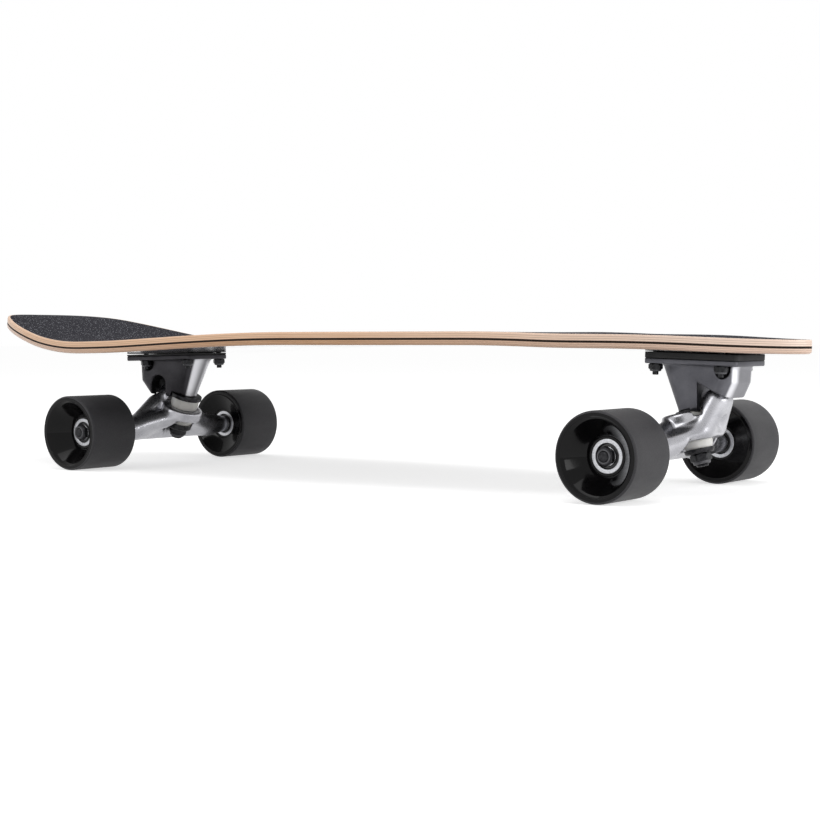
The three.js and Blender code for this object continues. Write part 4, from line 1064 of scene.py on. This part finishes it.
for truck in trucks:
    name, place, radius = truck.name, truck.kingpin, truck.washer_radius
    head_top = truck.up_kingpin(truck.flange_top) - kingpin_hex / math.sqrt(3) * math.tan(-truck.lean) - 0.3
    pin = [rod(kingpin_radius, -17, head_top - 5, 40, place),
           thread_shell(kingpin_radius, kingpin_foot, kingpin_thread_top, kingpin_pitch, place, sides=40),
           hex_shell(kingpin_hex, head_top - 6, head_top, 1.0, place)]
    truck.piece("kingpin_bolt", "kingpin", pin, [black_steel], "board", "black_steel")
    low, high = upper_bushing_top + 0.05, upper_washer_top + 0.2
    rim = low - washer_rim[name]
    pressed = [(washer_bore, low), (radius - 1.3, low), (radius - 1.2, rim), (radius, rim), (radius, high),
               (washer_bore, high)]
    low = lower_bushing_foot - 0.05
    foot, rim = low - 1.8, low + cup_depth[name]
    cupped = [(washer_bore, low), (9.7, low), (10.9, rim), (11.9, rim), (11.3, foot + 0.9), (10.5, foot),
              (washer_bore, foot)]
    for word, node, profile, ease in (("pressed", "upper", pressed, pressed_ease),
                                      ("cupped", "lower", cupped, cupped_ease)):
        truck.piece(f"{word}_washer", f"{node}_washer", [turned(eased(profile, ease), 56, place)],
                    [black_steel], "board", "black_steel")
    nut_top = foot - 0.05
    nut_foot = nut_top - kingpin_nut_height
    nut = lock_nut(place, 14.3, nut_foot + 2.2, nut_top, 5.1, 0.9, nut_foot,
                   [(6.0, 0), (6.6, 0.6), (6.8, 2.4)], 0.3, 56)
    truck.piece("kingpin_lock_nut", "kingpin_nut", nut, [black_steel, nylon], "board", "black_steel")


# Bushings
# Cast white urethane, a barrel above the ring and a cone below it. They squeeze and lean as
# the hanger steers, but here each keeps one fixed shape.

urethane_white = grained("white_urethane", (232, 230, 224), 0.38, (120, 4.0),
                         ((230, 229, 226), (212, 210, 205)), (0.32, 0.46), Subsurface_Weight=0.25,
                         Subsurface_Radius=(0.003, 0.0028, 0.0024), Coat_Weight=0.2, Coat_Roughness=0.2)
bushing_bore = 5.3


def bushing(truck, word, node, low, high, side):
    """One bushing: its side between two flat ends, turned about the kingpin."""
    profile = [(bushing_bore, low), *side, (bushing_bore, high)]
    return truck.piece(word, node, [turned(eased(profile, 0.9, 5), 56, truck.kingpin)], [urethane_white],
                       None, "white_urethane")


for truck in trucks:
    low, high = ring_face + 0.05, upper_bushing_top
    side = [(12.1, low), (12.6, low + 2.5), (12.8, (low + high) / 2), (12.6, high - 2), (12.2, high)]
    upper = bushing(truck, "barrel_bushing", "upper_bushing", low, high, side)
    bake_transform(upper)
    low, high = lower_bushing_foot, -ring_face - 0.05
    side = [(9.4, low), (9.9, low + 1.6), (10.6, low + 3.5), (11.5, high - 2.5), (11.5, high)]
    lower = bushing(truck, "cone_bushing", "lower_bushing", low, high, side)
    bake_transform(lower)


# Axles, speed washers and axle nuts
# Drawn steel rods through the hanger housings, threaded at both ends, with thin washers on
# both sides of the wheels and black lock nuts outside them.

bright_steel = grained("bright_steel", (205, 206, 209), 0.2, (900, 3.0), ((212, 213, 216), (180, 181, 185)),
                       (0.15, 0.3), (0.00002, 0.4), 1.0)
wheel_centre, core_centre = 96.0, 91.0
axle_radius, axle_half, axle_thread_length = 4.0, 109.8, 11.8
speed_washers = ((77.55, 78.95, "inner"), (103.1, 104.1, "outer"))
axle_nut_face, axle_hex_end, axle_collar_end, axle_nut_bore = 104.2, 108.0, 109.2, 4.2
hands = ((1, "left"), (-1, "right"))


def axle_place(truck, hand=1):
    """Frame on the axle's middle with Z along the axle, to the left or right side."""
    place = np.eye(4)
    place[:3, :3] = np.array([[1, 0, 0], [0, 0, hand], [0, -hand, 0]])
    place[:3, 3] = (truck.side * wheelbase / 2 + board_shift, 0, wheel_radius)
    return place


for truck in trucks:
    place = axle_place(truck)
    axle = [rod(axle_radius, -99, 99, 40, place)]
    for low in (-axle_half, axle_half - axle_thread_length):
        axle.append(thread_shell(axle_radius, low, low + axle_thread_length, 1.0, place, 1, sides=32))
    truck.piece("axle_rod", "axle", axle, [bright_steel, black_steel], "hanger_set", "bright_steel")
    for hand, word in hands:
        place = axle_place(truck, hand)
        for low, high, where in speed_washers:
            washer = eased([(axle_nut_bore, low), (7.0, low), (7.0, high), (axle_nut_bore, high)], 0.2)
            truck.piece(f"{word}_{where}_speed_washer", None, [turned(washer, 40, place)], [bright_steel],
                        "hanger_set", "bright_steel")
        nut = lock_nut(place, 13, axle_nut_face, axle_hex_end, axle_nut_bore, 0.8, axle_collar_end,
                       [(5.2, 0), (5.8, -0.5), (6.1, -1.6)], 0.3, 48)
        truck.piece(f"{word}_axle_lock_nut", f"{word}_axle_nut", nut, [black_steel, nylon], "hanger_set",
                    "black_steel")


# Wheels
# Poured black urethane: a ground, dull tread and shoulders, and moulded faces that shine and
# run in a shallow dish to the seat of the bearing. The cores are the same all over.

tread_black = new_finish("ground_tread", (38, 37, 40), 0.66, Sheen_Weight=0.1, Sheen_Roughness=0.5,
                         Specular_IOR_Level=0.3)
ground = grain(tread_black, 1100, 3.0)
scuffs = grain(tread_black, 70, 5.0, (1, 0.25, 1))
tread_colour = tint(tread_black, spread(tread_black, scuffs, 0, 1), (32, 31, 34), (44, 43, 46))
tread_colour = tint(tread_black, spread(tread_black, ground, 0, 0.3), tread_colour, (68, 67, 70))
feed(tread_black, "Base Color", tread_colour)
feed(tread_black, "Roughness", spread(tread_black, scuffs, 0.52, 0.7))
feed(tread_black, "Normal", relief(tread_black, ground, 0.00008, 0.6))

face_black = grained("moulded_face", (8, 8, 9), 0.1, (45, 3.0), ((6, 6, 7), (14, 13, 14)), (0.05, 0.16),
                     (0.0002, 0.12), Specular_IOR_Level=0.12, Coat_Weight=0.06, Coat_Roughness=0.03)

shoulder, lip_radius, face_edge, wheel_sides = 1.6, 28.5, 25.5, 120
half_land, seat_depth, seat_radius = 4.7, 7.9, 11.05


def wheel_half(out):
    """Half of the wheel's section, from the land between the bearings to the tread's middle,
    measured outwards, with the finish of each stretch: 0 ground, 1 moulded. The core is nearer
    the truck, so the outer face dishes deeper than the inner one."""
    land = half_land - out * (wheel_centre - core_centre)
    floor_level, lip_level = land + seat_depth, face_edge - 0.4
    seat = [(9, land), (seat_radius, land), (seat_radius, floor_level - 0.4), (11.5, floor_level),
            (14.1, floor_level), (14.4, floor_level + 0.5)]
    share = np.linspace(0, 1, 9)
    dish = np.stack([14.6 + (lip_radius - 15.2) * share,
                     floor_level + 1.0 + (face_edge - floor_level - 1.5) * share ** 1.12], -1)
    lip = [(lip_radius - 0.4, lip_level), (lip_radius, face_edge - 0.05),
           (lip_radius + 0.4, face_edge - 0.05), (lip_radius + 0.8, face_edge - 0.45), (31.0, lip_level)]
    turns = np.linspace(0, np.pi / 2, 7)
    edge = np.stack([wheel_radius - shoulder * (1 - np.sin(turns)),
                     lip_level - shoulder * (1 - np.cos(turns))], -1)
    tread = [(wheel_radius, 14.0), (wheel_radius, 7.0), (wheel_radius, 0.0)]
    moulded = len(seat) + len(dish) + len(lip)
    finish = np.repeat([1, 0], [moulded, len(edge) + len(tread)])
    return np.concatenate([seat, dish, lip, edge, tread]), finish


outer_profile, outer_finish = wheel_half(1)
inner_profile, inner_finish = wheel_half(-1)
whole_profile = np.concatenate([outer_profile, inner_profile[-2::-1] * (1, -1)])
whole_finish = np.concatenate([outer_finish[:-1], inner_finish[-2::-1], [1]])

for truck in trucks:
    for hand, word in hands:
        place = axle_place(truck, hand) @ shift((0, 0, wheel_centre))
        points, faces, _ = turned(whole_profile, wheel_sides, place, spin=math.pi / wheel_sides)
        truck.piece(f"{word}_tyre", f"{word}_wheel", [(points, faces, np.tile(whole_finish, wheel_sides))],
                    [tread_black, face_black], f"{word}_wheel_set", "black_urethane", sharp=30)


# Bearings
# Ball bearings pressed into both faces of each wheel: bright races with a black rubber shield
# between them, and a bright seat ring round the outer one.

shield_rubber = grained("shield_rubber", (18, 18, 19), 0.4, (300, 3.0), ((14, 14, 15), (30, 30, 32)),
                        (0.32, 0.5))
satin_steel = grained("satin_steel", (190, 191, 194), 0.38, (1200, 2.0), ((198, 199, 202), (170, 171, 175)),
                      (0.32, 0.46), (0.00003, 0.4), 1.0)

outer_race = [(9.7, -3.5), (11.0, -3.5), (11.0, 3.5), (9.7, 3.5), (9.4, 3.0), (9.4, -3.0)]
inner_race = [(4.05, -3.5), (5.6, -3.5), (5.9, -3.0), (5.9, 3.0), (5.6, 3.5), (4.05, 3.5)]
shield = [(5.95, 2.7), (6.4, 3.0), (7.4, 3.1), (8.6, 3.0), (9.35, 2.6), (9.35, -2.6), (8.6, -3.0),
          (6.4, -3.0), (5.95, -2.7)]
seat_ring = [(9.3, 3.5), (9.3, 4.1), (9.7, 4.45), (12.3, 4.45), (12.6, 4.12), (11.0, 4.12), (11.0, 3.5)]
bearing_rings = ((outer_race, 0.3, 56, 0), (inner_race, 0.25, 40, 0), (shield, 0.3, 56, 1),
                 (seat_ring, 0.25, 56, 2))
bearing_offset = 8.5

for truck in trucks:
    for hand, word in hands:
        for where, out in (("outer", 1), ("inner", -1)):
            place = axle_place(truck, hand) @ shift((0, 0, core_centre + out * bearing_offset))
            place = place @ np.diag([1.0, out, out, 1.0])
            bearing = [turned(eased(ring, ease), sides, place, number)
                       for ring, ease, sides, number in bearing_rings]
            truck.piece(f"{word}_{where}_races", f"{word}_{where}_bearing", bearing,
                        [bright_steel, shield_rubber, satin_steel], f"{word}_wheel_set", "bright_steel")
